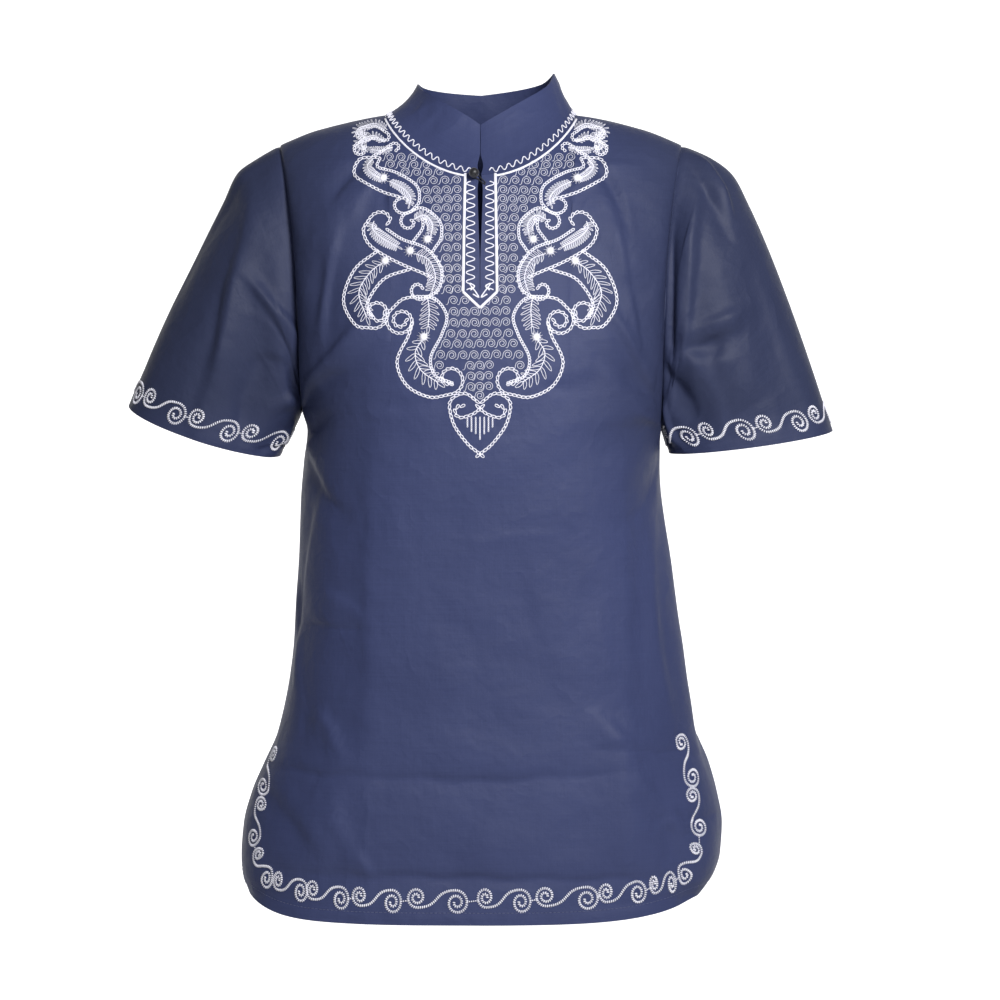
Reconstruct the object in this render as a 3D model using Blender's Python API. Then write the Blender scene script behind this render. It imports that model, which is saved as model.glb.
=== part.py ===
import math

import bpy
import bmesh
import numpy as np
from mathutils import Vector

# Short-sleeved dashiki shirt, hollow, in the form it has when worn.
# Metres, +Z up, the front faces -Y. The origin is the middle of the neck opening,
# at the height of the neck points of the shoulders.
# Side -1 is at -X (the wearer's right) and side +1 is at +X (the wearer's left).

WALL = 0.0015
COLLAR_WALL = 0.0024
SEAM_GAP = 0.0003
SEAM_BEVEL = 0.0006

# Body rings from the underarm to the hem: height, half width at -X, half width at +X,
# depth of the front and depth of the back.
BODY_ROWS = (
    # z, left, right, front, back
    (-0.2600, 0.1672, 0.1680, 0.1270, 0.1080),
    (-0.2800, 0.1672, 0.1680, 0.1280, 0.1070),
    (-0.3010, 0.1624, 0.1676, 0.1280, 0.1055),
    (-0.3300, 0.1660, 0.1676, 0.1270, 0.1030),
    (-0.3850, 0.1692, 0.1712, 0.1230, 0.1010),
    (-0.4420, 0.1712, 0.1786, 0.1190, 0.1010),
    (-0.4980, 0.1746, 0.1874, 0.1170, 0.1030),
    (-0.5550, 0.1834, 0.1948, 0.1160, 0.1060),
    (-0.5830, 0.1902, 0.2014, 0.1160, 0.1080),
    (-0.6110, 0.2022, 0.2130, 0.1160, 0.1090),
    (-0.6390, 0.2140, 0.2206, 0.1160, 0.1100),
    (-0.6670, 0.2212, 0.2252, 0.1160, 0.1100),
    (-0.6950, 0.2230, 0.2232, 0.1150, 0.1100),
    (-0.7130, 0.2215, 0.2172, 0.1140, 0.1090),
    (-0.7300, 0.2156, 0.2045, 0.1140, 0.1090),
)
RING_POWER = 2.3
HEM_MIDDLE_Z = -0.7470
HEM_CORNER_RISE = 0.0180
HEM_CORNER_POWER = {-1: 9.0, 1: 4.5}
VENT_TOP_Z = -0.5880
VENT_SPREAD = 0.0130

# Height of the shoulder line over the half width, from the neck to the armhole.
SHOULDER_ROWS = (
    # x, z
    (0.0000, 0.0000),
    (0.0450, -0.0015),
    (0.0900, -0.0060),
    (0.1520, -0.0195),
    (0.1880, -0.0335),
)
SHOULDER_HALF = 0.1880
FRONT_SHOULDER_POWER = 2.3
BACK_SHOULDER_POWER = 2.9

NECK_HALF = 0.0900
FRONT_NECK_Z = -0.0700
BACK_NECK_Z = -0.0150
FRONT_NECK_POWER = 1.5
BACK_NECK_POWER = 2.0

ARMPIT_Z = {-1: -0.2800, 1: -0.2970}
ARMHOLE_FRONT = 0.0620
ARMHOLE_BACK = 0.0600
ARMHOLE_BOW = 3.0
RING_ROUND = 0.9

# Half width of the opening of the neck slit over the height.
SLIT_ROWS = (
    # z, half gap
    (-0.1760, 0.0002),
    (-0.1500, 0.0003),
    (-0.1200, 0.0013),
    (-0.0830, 0.0023),
    (-0.0720, 0.0012),
    (-0.0600, 0.0012),
)

# Sleeve sections after the armhole: the outer point, the inner point, the depth to the
# front and to the back, and how far the outer half bows towards the shoulder.
SLEEVE_ROWS = {
    -1: (
        # out x, out z, in x, in z, front, back, bow
        (0.2106, -0.0470, 0.1685, -0.2840, 0.0660, 0.0640, 2.4),
        (0.2270, -0.0600, 0.1698, -0.2880, 0.0680, 0.0650, 2.0),
        (0.2396, -0.0880, 0.1718, -0.2925, 0.0680, 0.0650, 1.6),
        (0.2618, -0.1316, 0.1750, -0.2990, 0.0655, 0.0630, 1.3),
        (0.2900, -0.1880, 0.1796, -0.3075, 0.0610, 0.0590, 1.1),
        (0.3160, -0.2444, 0.1846, -0.3165, 0.0560, 0.0550, 1.0),
        (0.3294, -0.2760, 0.1882, -0.3230, 0.0540, 0.0530, 1.0),
    ),
    1: (
        (0.2165, -0.0462, 0.1700, -0.3000, 0.0660, 0.0640, 2.4),
        (0.2360, -0.0615, 0.1708, -0.3025, 0.0680, 0.0650, 2.0),
        (0.2510, -0.0893, 0.1716, -0.3050, 0.0680, 0.0650, 1.6),
        (0.2698, -0.1316, 0.1726, -0.3085, 0.0655, 0.0630, 1.3),
        (0.2914, -0.1880, 0.1738, -0.3125, 0.0610, 0.0590, 1.1),
        (0.3111, -0.2444, 0.1752, -0.3170, 0.0560, 0.0550, 1.0),
        (0.3296, -0.3005, 0.1772, -0.3215, 0.0540, 0.0530, 1.0),
    ),
}
CUFF_DROP = {-1: 0.0120, 1: 0.0060}

# Top edge of the collar by the angle from the middle of the front, in degrees.
COLLAR_TOP_ROWS = (
    # angle, z at -X, z at +X
    (0.0, -0.0210, -0.0210),
    (12.0, -0.0125, -0.0125),
    (35.0, 0.0010, 0.0030),
    (65.0, 0.0150, 0.0200),
    (92.0, 0.0245, 0.0345),
    (125.0, 0.0220, 0.0270),
    (180.0, 0.0190, 0.0190),
)
COLLAR_TOP_HALF = {-1: 0.0596, 1: 0.0690}
COLLAR_TOP_FRONT = 0.0600
COLLAR_TOP_BACK = 0.0440
COLLAR_BEND_IN = {-1: 0.74, 1: 0.60}
COLLAR_BEND_UP = 0.40
# Half width of the gap between the collar ends, from the seam (0) to the top edge (1).
COLLAR_END_ROWS = (
    # part of the height, half gap
    (0.00, 0.0008),
    (0.22, 0.0026),
    (0.50, 0.0003),
    (1.00, 0.0004),
)

# The largest folds: panel, start x and z, end x and z, half width, height.
FOLD_ROWS = (
    # panel, x0, z0, x1, z1, width, height
    ("front", -0.118, -0.075, -0.156, -0.150, 0.020, 0.0060),
    ("front", -0.136, -0.150, -0.150, -0.240, 0.020, -0.0060),
    ("front", 0.112, -0.090, 0.152, -0.165, 0.020, 0.0060),
    ("front", 0.134, -0.170, 0.150, -0.260, 0.020, -0.0055),
    ("front", -0.140, -0.330, -0.150, -0.560, 0.022, 0.0040),
    ("front", 0.143, -0.340, 0.150, -0.560, 0.022, -0.0045),
    ("front", 0.118, -0.570, 0.150, -0.690, 0.024, 0.0060),
    ("front", -0.120, -0.580, -0.158, -0.700, 0.024, 0.0050),
    ("back", -0.100, -0.110, -0.145, -0.210, 0.022, -0.0055),
    ("back", 0.110, -0.120, 0.150, -0.220, 0.022, -0.0055),
    ("back", -0.060, -0.330, -0.085, -0.600, 0.024, 0.0050),
    ("back", 0.070, -0.380, 0.060, -0.650, 0.024, 0.0055),
    ("back", 0.135, -0.450, 0.160, -0.690, 0.022, -0.0050),
)
SLEEVE_FOLD_ROWS = (
    # side, part of the length from and to, angle from and to in degrees, width, height
    (-1, 0.15, 0.95, 52.0, 70.0, 16.0, 0.0045),
    (-1, 0.20, 0.90, 100.0, 112.0, 15.0, -0.0045),
    (-1, 0.25, 0.90, 262.0, 250.0, 18.0, -0.0045),
    (1, 0.10, 0.80, 60.0, 92.0, 16.0, 0.0055),
    (1, 0.25, 0.90, 120.0, 128.0, 14.0, -0.0040),
    (1, 0.25, 0.95, 285.0, 268.0, 18.0, -0.0045),
)

NECK_COLUMNS = 9
FRONT_COLUMNS = 40
BACK_COLUMNS = 36
FRONT_ROWS_BELOW = 22
FRONT_ROWS_ABOVE = 15
BACK_ROWS_BELOW = 18
BACK_ROWS_ABOVE = 14
SLEEVE_AROUND = 34
SLEEVE_RINGS = 12
COLLAR_AROUND = 4 * NECK_COLUMNS
COLLAR_ROWS = 5

BUTTON_X = -0.0056
BUTTON_Z = -0.0715
BUTTON_RADIUS = 0.0047
BUTTON_LIFT = 0.0066
SHANK_RADIUS = 0.0012
LOOP_RADIUS = 0.0008
LOOP_INNER = 0.0024
LOOP_END_X = 0.0042
LOOP_END_Z = -0.0790

NAVY = (0.067, 0.080, 0.184, 1.0)
DARK = (0.010, 0.011, 0.018, 1.0)


def clear_scene():
    for thing in list(bpy.data.objects):
        bpy.data.objects.remove(thing, do_unlink=True)
    for mesh in list(bpy.data.meshes):
        bpy.data.meshes.remove(mesh)


def clamp(value, low, high):
    return max(low, min(high, value))


def smooth_table(rows, column, at):
    """A column of a table at a value of its first column, on a smooth curve."""
    xs = [row[0] for row in rows]
    ys = [row[column] for row in rows]
    if xs[0] > xs[-1]:
        xs.reverse()
        ys.reverse()
    at = clamp(at, xs[0], xs[-1])
    i = min(max(int(np.searchsorted(xs, at)) - 1, 0), len(xs) - 2)
    steps = [(ys[k + 1] - ys[k]) / (xs[k + 1] - xs[k]) for k in range(len(xs) - 1)]
    before = steps[max(i - 1, 0)]
    here = steps[i]
    after = steps[min(i + 1, len(steps) - 1)]
    start = 0.0 if before * here <= 0 else 2 * before * here / (before + here)
    end = 0.0 if after * here <= 0 else 2 * after * here / (after + here)
    h = xs[i + 1] - xs[i]
    t = (at - xs[i]) / h
    return (
        ys[i] * (1 + 2 * t) * (1 - t) ** 2
        + start * h * t * (1 - t) ** 2
        + ys[i + 1] * t * t * (3 - 2 * t)
        + end * h * t * t * (t - 1)
    )


def half_width(side, z):
    return smooth_table(BODY_ROWS, 1 if side < 0 else 2, z)


def armhole_point(side, angle):
    """A point of the armhole: angle 0 on the shoulder, 90 degrees in front, 180 in the armpit."""
    low_z = ARMPIT_Z[side]
    high_z = SHOULDER_ROWS[-1][1]
    low_x = half_width(side, low_z)
    part = (1 + math.cos(angle)) / 2
    x = low_x + (SHOULDER_HALF - low_x) * part**ARMHOLE_BOW
    s = math.sin(angle)
    depth = ARMHOLE_FRONT if s > 0 else ARMHOLE_BACK
    y = -math.copysign(depth * abs(s) ** RING_ROUND, s)
    z = low_z + (high_z - low_z) * part
    return Vector((side * x, y, z))


def neck_height(face, x):
    """Height of the neck edge of a panel, or of the shoulder line beyond the neck."""
    x = abs(x)
    if x >= NECK_HALF:
        return smooth_table(SHOULDER_ROWS, 1, x)
    middle = FRONT_NECK_Z if face == "front" else BACK_NECK_Z
    power = FRONT_NECK_POWER if face == "front" else BACK_NECK_POWER
    edge = smooth_table(SHOULDER_ROWS, 1, NECK_HALF)
    return edge + (middle - edge) * (1 - (x / NECK_HALF) ** 2) ** (power / 2)


def fold_height(face, x, z):
    """How far the folds lift the cloth at a place on a panel."""
    total = 0.0
    for panel, x0, z0, x1, z1, width, height in FOLD_ROWS:
        if panel != face:
            continue
        ax = x1 - x0
        az = z1 - z0
        part = ((x - x0) * ax + (z - z0) * az) / (ax * ax + az * az)
        near = clamp(part, 0.0, 1.0)
        away = math.hypot(x - x0 - near * ax, z - z0 - near * az)
        fade = math.sin(math.pi * clamp(0.08 + 0.84 * part, 0.0, 1.0)) ** 0.8
        total += height * fade * math.exp(-((away / width) ** 2))
    return total


def panel_point(face, u, v):
    """Outer surface of a panel: u runs from -1 to 1 across, v from 0 (hem) over 1 (underarm)
    to 2 (shoulder line or neck edge)."""
    side = -1 if u < 0 else 1
    a = abs(u) * math.pi / 2
    s = math.sin(a) ** (2 / RING_POWER)
    c = max(math.cos(a), 0.0) ** (2 / RING_POWER)
    front = face == "front"
    middle = (ARMPIT_Z[-1] + ARMPIT_Z[1]) / 2
    under = middle + (ARMPIT_Z[side] - middle) * s
    if v <= 1.0:
        hem = HEM_MIDDLE_Z + HEM_CORNER_RISE * s ** HEM_CORNER_POWER[side]
        z = hem + (under - hem) * v
        x = s * half_width(side, z)
        depth = smooth_table(BODY_ROWS, 3 if front else 4, z)
        open_by = clamp((VENT_TOP_Z - z) / 0.13, 0.0, 1.2) ** 1.4 * VENT_SPREAD
        gap = SEAM_GAP / 2 + open_by
        y = gap + (depth - gap) * c
        mask = (1 - s**6) * min(1.0, v * 8)
    else:
        t = v - 1.0
        x_top = s * SHOULDER_HALF
        ridge = smooth_table(SHOULDER_ROWS, 1, x_top)
        top = neck_height(face, x_top)
        power = FRONT_SHOULDER_POWER if front else BACK_SHOULDER_POWER
        reach = (top - under) / (ridge - under)
        last = math.asin(clamp(reach, 0.0, 1.0) ** (power / 2))
        inner = math.sin(t * last) ** (2 / power) / reach
        outer = (1 - math.cos(math.pi * t)) / 2
        weight = s**4
        part = (1 - weight) * inner + weight * outer
        z = under + (top - under) * part
        rise = clamp(part * reach, 0.0, 1.0)
        low_x = half_width(side, under)
        x = s * (low_x + (SHOULDER_HALF - low_x) * rise**ARMHOLE_BOW)
        depth = smooth_table(BODY_ROWS, 3 if front else 4, under)
        depth = depth * (1 - rise**power) ** (1 / power)
        hole = ARMHOLE_FRONT if front else ARMHOLE_BACK
        hole = hole * (2 * math.sqrt(rise * (1 - rise))) ** RING_ROUND
        y = SEAM_GAP / 2 + hole + (depth - hole) * c
        if s > 0.999:
            y = SEAM_GAP / 2 + hole
        mask = (1 - s**6) * min(1.0, (1 - t) * 5)
    x = side * x
    y += mask * fold_height(face, x, z)
    return Vector((x, -y if front else y, z))


def face_normals(points, faces):
    """Normals of the vertices of a sheet, from its faces."""
    normals = [Vector((0.0, 0.0, 0.0)) for _ in points]
    for face in faces:
        corners = [points[i] for i in face]
        normal = Vector((0.0, 0.0, 0.0))
        for i in range(1, len(corners) - 1):
            normal += (corners[i] - corners[0]).cross(corners[i + 1] - corners[0])
        for i in face:
            normals[i] += normal
    return [n.normalized() for n in normals]


def make_solid(name, points, faces, wall, flat, shift):
    """Close a sheet into a body with a wall. Flat names the axis along which the
    wall of a seam vertex must not lean, and shift moves inner vertices away from a seam."""
    normals = face_normals(points, faces)
    inner = []
    for i, point in enumerate(points):
        normal = normals[i].copy()
        if i in flat:
            normal[flat[i]] = 0.0
            normal.normalize()
        inner.append(point - normal * wall + shift.get(i, Vector((0.0, 0.0, 0.0))))
    bm = bmesh.new()
    outside = [bm.verts.new(p) for p in points]
    inside = [bm.verts.new(p) for p in inner]
    edges = set()
    for face in faces:
        bm.faces.new([outside[i] for i in face])
        bm.faces.new([inside[i] for i in reversed(face)])
        for k in range(len(face)):
            edges.add((face[k], face[(k + 1) % len(face)]))
    for a, b in sorted(edges):
        if (b, a) not in edges:
            bm.faces.new((outside[b], outside[a], inside[a], inside[b]))
    return finish_object(name, bm, NAVY, 0.55)


def finish_object(name, bm, colour, roughness):
    mesh = bpy.data.meshes.new(name)
    bm.normal_update()
    bm.to_mesh(mesh)
    bm.free()
    thing = bpy.data.objects.new(name, mesh)
    bpy.context.scene.collection.objects.link(thing)
    for polygon in mesh.polygons:
        polygon.use_smooth = True
    material = bpy.data.materials.new(name + "_material")
    material.use_nodes = True
    shader = material.node_tree.nodes["Principled BSDF"]
    shader.inputs["Base Color"].default_value = colour
    shader.inputs["Roughness"].default_value = roughness
    mesh.materials.append(material)
    return thing


def column_at(turn):
    """The place across a panel that meets the neck edge at an angle round the neck."""
    s = NECK_HALF / SHOULDER_HALF * abs(math.sin(turn))
    u = math.asin(s ** (RING_POWER / 2)) / (math.pi / 2)
    return math.copysign(u, math.sin(turn))


def panel_columns(count):
    """Places across a panel: the slit, even turns round the neck, then the shoulder."""
    right = [column_at(math.pi / 2 * i / NECK_COLUMNS) for i in range(NECK_COLUMNS + 1)]
    neck = right[-1]
    outer = count // 2 - NECK_COLUMNS
    right += [neck + (1 - neck) * i / outer for i in range(1, outer + 1)]
    return [-u for u in reversed(right[1:])] + right


def make_panel(name, face, columns, below, above, split):
    across = panel_columns(columns)
    heights = [i / below for i in range(below + 1)]
    heights += [1 + i / above for i in range(1, above + 1)]
    points = []
    flat = {}
    place = {}
    slit_low = SLIT_ROWS[0][0]
    for j, v in enumerate(heights):
        for i, u in enumerate(across):
            point = panel_point(face, u, v)
            if abs(u) == 1.0:
                flat[len(points)] = 1
                if v > 1.0:
                    del flat[len(points)]
            if j == len(heights) - 1 and abs(point.x) >= NECK_HALF - 1e-6:
                flat[len(points)] = 1
            if split and u == 0.0 and point.z > slit_low:
                gap = smooth_table(SLIT_ROWS, 1, point.z)
                for side in (-1, 1):
                    place[(j, i, side)] = len(points)
                    points.append(Vector((side * gap, point.y, point.z)))
                continue
            place[(j, i, -1)] = len(points)
            place[(j, i, 1)] = len(points)
            points.append(point)
    faces = []
    for j in range(len(heights) - 1):
        for i in range(len(across) - 1):
            side = -1 if across[i] < 0 else 1
            quad = [
                place[(j, i, side)],
                place[(j, i + 1, side)],
                place[(j + 1, i + 1, side)],
                place[(j + 1, i, side)],
            ]
            if face == "back":
                quad.reverse()
            faces.append(quad)
    return make_solid(name, points, faces, WALL, flat, {})


def sleeve_table(side):
    """Sections of a sleeve with the length along its outer line in front."""
    top = armhole_point(side, 0.0)
    low = armhole_point(side, math.pi)
    first = (abs(top.x), top.z, abs(low.x), low.z, ARMHOLE_FRONT, ARMHOLE_BACK, ARMHOLE_BOW)
    rows = [first, *SLEEVE_ROWS[side]]
    along = 0.0
    table = []
    for k, row in enumerate(rows):
        if k:
            along += math.hypot(row[0] - rows[k - 1][0], row[1] - rows[k - 1][1])
        table.append((along, *row))
    return table


def sleeve_fold(side, part, degrees):
    total = 0.0
    for owner, p0, p1, a0, a1, width, height in SLEEVE_FOLD_ROWS:
        if owner != side or not p0 <= part <= p1:
            continue
        t = (part - p0) / (p1 - p0)
        away = (degrees - a0 - (a1 - a0) * t) / width
        total += height * math.sin(math.pi * t) ** 0.7 * math.exp(-away * away)
    return total


def sleeve_point(side, table, part, angle):
    """Outer surface of a sleeve: part 0 on the armhole and 1 on the cuff edge."""
    at = table[-1][0] * part
    out_x, out_z, in_x, in_z, front, back, bow = (
        smooth_table(table, k, at) for k in range(1, 8)
    )
    up = (1 + math.cos(angle)) / 2
    s = math.sin(angle)
    size = abs(s) ** RING_ROUND
    x = in_x + (out_x - in_x) * up**bow
    z = in_z + (out_z - in_z) * up
    y = -math.copysign((front if s > 0 else back) * size, s)
    lift = sleeve_fold(side, part, math.degrees(angle))
    y -= math.copysign(lift * size, s)
    drop = CUFF_DROP[side] * size * part**3
    across = Vector((out_x - in_x, out_z - in_z)).normalized()
    x += across.y * drop
    z -= across.x * drop
    x += SEAM_GAP * (1 - part) ** 4
    return Vector((side * x, y, z))


def make_sleeve(name, side):
    table = sleeve_table(side)
    points = []
    flat = {}
    for j in range(SLEEVE_RINGS + 1):
        part = j / SLEEVE_RINGS
        for i in range(SLEEVE_AROUND):
            if j == 0:
                flat[len(points)] = 0
            points.append(sleeve_point(side, table, part, 2 * math.pi * i / SLEEVE_AROUND))
    faces = []
    for j in range(SLEEVE_RINGS):
        for i in range(SLEEVE_AROUND):
            k = (i + 1) % SLEEVE_AROUND
            quad = [
                j * SLEEVE_AROUND + i,
                j * SLEEVE_AROUND + k,
                (j + 1) * SLEEVE_AROUND + k,
                (j + 1) * SLEEVE_AROUND + i,
            ]
            if side < 0:
                quad.reverse()
            faces.append(quad)
    return make_solid(name, points, faces, WALL, flat, {})


def collar_base(turn):
    """Where the collar meets the panels: turn 0 in the middle of the front, pi behind."""
    face = "front" if math.cos(turn) >= 0 else "back"
    return panel_point(face, column_at(turn), 2.0)


def collar_point(turn, height):
    base = collar_base(turn)
    side = -1 if math.sin(turn) < 0 else 1
    degrees = math.degrees(turn) % 360
    degrees = min(degrees, 360 - degrees)
    top_z = smooth_table(COLLAR_TOP_ROWS, 1 if side < 0 else 2, degrees)
    reach = COLLAR_TOP_FRONT if math.cos(turn) > 0 else COLLAR_TOP_BACK
    top = Vector((COLLAR_TOP_HALF[side] * math.sin(turn), -reach * math.cos(turn), top_z))
    turned = (1 - math.sin(turn)) / 2
    inward = COLLAR_BEND_IN[1] + (COLLAR_BEND_IN[-1] - COLLAR_BEND_IN[1]) * turned
    bend = base.lerp(top, inward)
    bend.z = base.z + (top.z - base.z) * COLLAR_BEND_UP
    base = base + (bend - base).normalized() * SEAM_GAP
    low = base.lerp(bend, height)
    high = bend.lerp(top, height)
    return low.lerp(high, height)


def make_collar(name):
    points = []
    for j in range(COLLAR_ROWS + 1):
        height = j / COLLAR_ROWS
        gap = smooth_table(COLLAR_END_ROWS, 1, height)
        for i in range(COLLAR_AROUND + 1):
            turn = 2 * math.pi * i / COLLAR_AROUND
            point = collar_point(turn, height)
            if i == 0:
                point.x = gap
            elif i == COLLAR_AROUND:
                point.x = -gap
            points.append(point)
    faces = []
    flat = {}
    wide = COLLAR_AROUND + 1
    for j in range(COLLAR_ROWS + 1):
        flat[j * wide] = 0
        flat[j * wide + COLLAR_AROUND] = 0
    for j in range(COLLAR_ROWS):
        for i in range(COLLAR_AROUND):
            a = j * wide + i
            faces.append([a, a + 1, a + wide + 1, a + wide])
    shift = {i: (points[wide + i] - points[i]).normalized() * SEAM_BEVEL for i in range(wide)}
    return make_solid(name, points, faces, COLLAR_WALL, flat, shift)


def front_frame(x, z):
    """A point of the front at x and z, and its outward, sideways and upward directions."""

    def at(ax, az):
        s = abs(ax) / half_width(1, az)
        low = 0.0
        high = 2.0
        for _ in range(40):
            v = (low + high) / 2
            u = math.asin(clamp(s, 0.0, 1.0) ** (RING_POWER / 2)) / (math.pi / 2)
            point = panel_point("front", math.copysign(u, ax), v)
            if point.z < az:
                low = v
            else:
                high = v
        return Vector((ax, point.y, az))

    here = at(x, z)
    beside = (at(x + 0.004, z) - at(x - 0.004, z)).normalized()
    upward = (at(x, z + 0.002) - at(x, z - 0.004)).normalized()
    out = beside.cross(upward).normalized()
    return here, out, beside, out.cross(beside)


def make_button(name):
    here, out, beside, upward = front_frame(BUTTON_X, BUTTON_Z)
    profile = [(0.0, SEAM_GAP), (SHANK_RADIUS, SEAM_GAP), (SHANK_RADIUS, 0.0021)]
    low = math.asin(SHANK_RADIUS / BUTTON_RADIUS)
    for k in range(1, 11):
        a = low + (math.pi - low) * k / 10
        profile.append((BUTTON_RADIUS * math.sin(a), BUTTON_LIFT - BUTTON_RADIUS * math.cos(a)))
    bm = bmesh.new()
    around = 20
    rings = []
    for radius, lift in profile[1:-1]:
        ring = []
        for i in range(around):
            a = 2 * math.pi * i / around
            spot = beside * (radius * math.cos(a)) + upward * (radius * math.sin(a))
            ring.append(bm.verts.new(here + out * lift + spot))
        rings.append(ring)
    start = bm.verts.new(here + out * profile[0][1])
    end = bm.verts.new(here + out * profile[-1][1])
    for i in range(around):
        k = (i + 1) % around
        bm.faces.new((start, rings[0][k], rings[0][i]))
        bm.faces.new((end, rings[-1][i], rings[-1][k]))
        for low_ring, high_ring in zip(rings, rings[1:]):
            bm.faces.new((low_ring[i], low_ring[k], high_ring[k], high_ring[i]))
    return finish_object(name, bm, DARK, 0.35)


def make_loop(name):
    """A round cord from the left edge of the slit, round the shank and back."""
    here, out, beside, upward = front_frame(BUTTON_X, BUTTON_Z)
    end_here, end_out, _, _ = front_frame(LOOP_END_X, LOOP_END_Z)
    lift = SEAM_GAP + LOOP_RADIUS
    along = end_here + end_out * lift - (here + out * lift)
    flat = Vector((along.dot(beside), along.dot(upward)))
    heading = math.atan2(flat.y, flat.x)
    path = []
    for sign, steps in ((1, range(5)), (-1, range(4, -1, -1))):
        part = []
        for k in steps:
            t = 1 - k / 5
            wide = LOOP_INNER * (1 - t) + 0.0011 * t
            across = heading + math.pi / 2
            offset = beside * math.cos(across) + upward * math.sin(across)
            spot = here + out * lift + along * t + offset * (wide * sign)
            spot += end_out * (0.0008 * math.sin(math.pi * t))
            part.append(spot)
        if sign > 0:
            path += part
            for k in range(0, 9):
                a = heading + math.pi / 2 + math.pi * k / 8
                ring = beside * math.cos(a) + upward * math.sin(a)
                path.append(here + out * lift + ring * LOOP_INNER)
        else:
            path += part
    bm = bmesh.new()
    rings = []
    for k, spot in enumerate(path):
        ahead = path[min(k + 1, len(path) - 1)] - path[max(k - 1, 0)]
        ahead.normalize()
        one = ahead.cross(out).normalized()
        two = one.cross(ahead)
        ring = []
        for i in range(8):
            a = 2 * math.pi * i / 8
            turn = one * (LOOP_RADIUS * math.cos(a)) + two * (LOOP_RADIUS * math.sin(a))
            ring.append(bm.verts.new(spot + turn))
        rings.append(ring)
    for first, second in zip(rings, rings[1:]):
        for i in range(8):
            k = (i + 1) % 8
            bm.faces.new((first[i], first[k], second[k], second[i]))
    bm.faces.new(list(reversed(rings[0])))
    bm.faces.new(rings[-1])
    bmesh.ops.recalc_face_normals(bm, faces=bm.faces)
    return finish_object(name, bm, DARK, 0.6)


def main():
    clear_scene()
    make_panel("front_panel", "front", FRONT_COLUMNS, FRONT_ROWS_BELOW, FRONT_ROWS_ABOVE, True)
    make_panel("back_panel", "back", BACK_COLUMNS, BACK_ROWS_BELOW, BACK_ROWS_ABOVE, False)
    make_sleeve("sleeve_right", -1)
    make_sleeve("sleeve_left", 1)
    make_collar("collar")
    make_button("button")
    make_loop("button_loop")


main()
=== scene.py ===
# %% [markdown]
# # A short-sleeved dashiki shirt
# The real shirt is sewn from navy polished cotton: a front with a neck slit, a back, two
# short sleeves and a stand collar. Pale thread makes the neck embroidery and the borders.
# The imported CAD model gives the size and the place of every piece. The cloth is remade on
# the same form as thin sheets, because their folds and edges need more points than a solid
# for collision has. The thread is laid on those sheets, so it follows every crease.

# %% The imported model
import math

import bpy
import numpy as np
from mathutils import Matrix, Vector


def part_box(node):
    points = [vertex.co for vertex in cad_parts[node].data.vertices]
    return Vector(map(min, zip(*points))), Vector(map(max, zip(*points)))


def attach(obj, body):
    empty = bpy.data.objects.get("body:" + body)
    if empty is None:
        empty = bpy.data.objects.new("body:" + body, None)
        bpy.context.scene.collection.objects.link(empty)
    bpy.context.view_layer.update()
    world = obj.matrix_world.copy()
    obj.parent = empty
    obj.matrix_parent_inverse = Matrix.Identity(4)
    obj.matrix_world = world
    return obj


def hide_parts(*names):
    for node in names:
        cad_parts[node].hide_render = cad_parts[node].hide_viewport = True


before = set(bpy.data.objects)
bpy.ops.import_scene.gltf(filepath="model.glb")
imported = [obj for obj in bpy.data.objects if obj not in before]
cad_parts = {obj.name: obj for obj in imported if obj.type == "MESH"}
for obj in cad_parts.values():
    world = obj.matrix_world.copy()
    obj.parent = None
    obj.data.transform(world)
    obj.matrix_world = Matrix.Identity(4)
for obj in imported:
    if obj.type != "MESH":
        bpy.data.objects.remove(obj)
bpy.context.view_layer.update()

# %% [markdown]
# ## The view
# The photograph was taken level, from in front, so the camera looks along +Y at the height
# of the armpits. A little shift lowers the picture without tilting the view. One panel of
# light shines from high on the right, and a wide one in front keeps the shadows soft.

# %% Camera
CAMERA_PLACE = (0.0179, -2.6, -0.3196)
CAMERA_LENS = 99.6
CAMERA_SHIFT = -0.05
camera = bpy.data.objects.new("camera", bpy.data.cameras.new("camera"))
bpy.context.scene.collection.objects.link(camera)
camera.location = CAMERA_PLACE
camera.rotation_euler = (math.radians(90), 0, 0)
camera.data.lens = CAMERA_LENS
camera.data.shift_y = CAMERA_SHIFT
bpy.context.scene.camera = camera
print("camera at", CAMERA_PLACE)

# %% Lights
SKY_STRENGTH = 0.20
# Each row is a panel of light: its name, place, what it looks at, width and power.
LIGHT_ROWS = (
    ("key_light", (0.75, -1.75, 0.55), (0.0, 0.0, -0.33), 0.6, 50.0),
    ("front_light", (-0.5, -2.9, 0.1), (0.0, 0.0, -0.40), 1.5, 12.0),
)
for name, place, target, width, power in LIGHT_ROWS:
    panel = bpy.data.lights.new(name, "AREA")
    panel.size = width
    panel.energy = power
    lamp = bpy.data.objects.new(name, panel)
    lamp.location = place
    heading = Vector(target) - Vector(place)
    lamp.rotation_euler = heading.to_track_quat("-Z", "Y").to_euler()
    bpy.context.scene.collection.objects.link(lamp)
world = bpy.data.worlds.new("studio")
bpy.context.scene.world = world
world.use_nodes = True
sky = world.node_tree.nodes["Background"]
sky.inputs["Color"].default_value = (1.0, 1.0, 1.0, 1.0)
sky.inputs["Strength"].default_value = SKY_STRENGTH
bpy.context.scene.view_settings.view_transform = "Standard"
print("lights", [row[0] for row in LIGHT_ROWS])

# %% [markdown]
# ## Writing materials as sums
# A material is made of nodes. To keep it readable, a small class stands for the output of a
# node, so that `1 - mask * 0.5` adds the Math nodes itself. Colours are mixed by Mix nodes.


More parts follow.
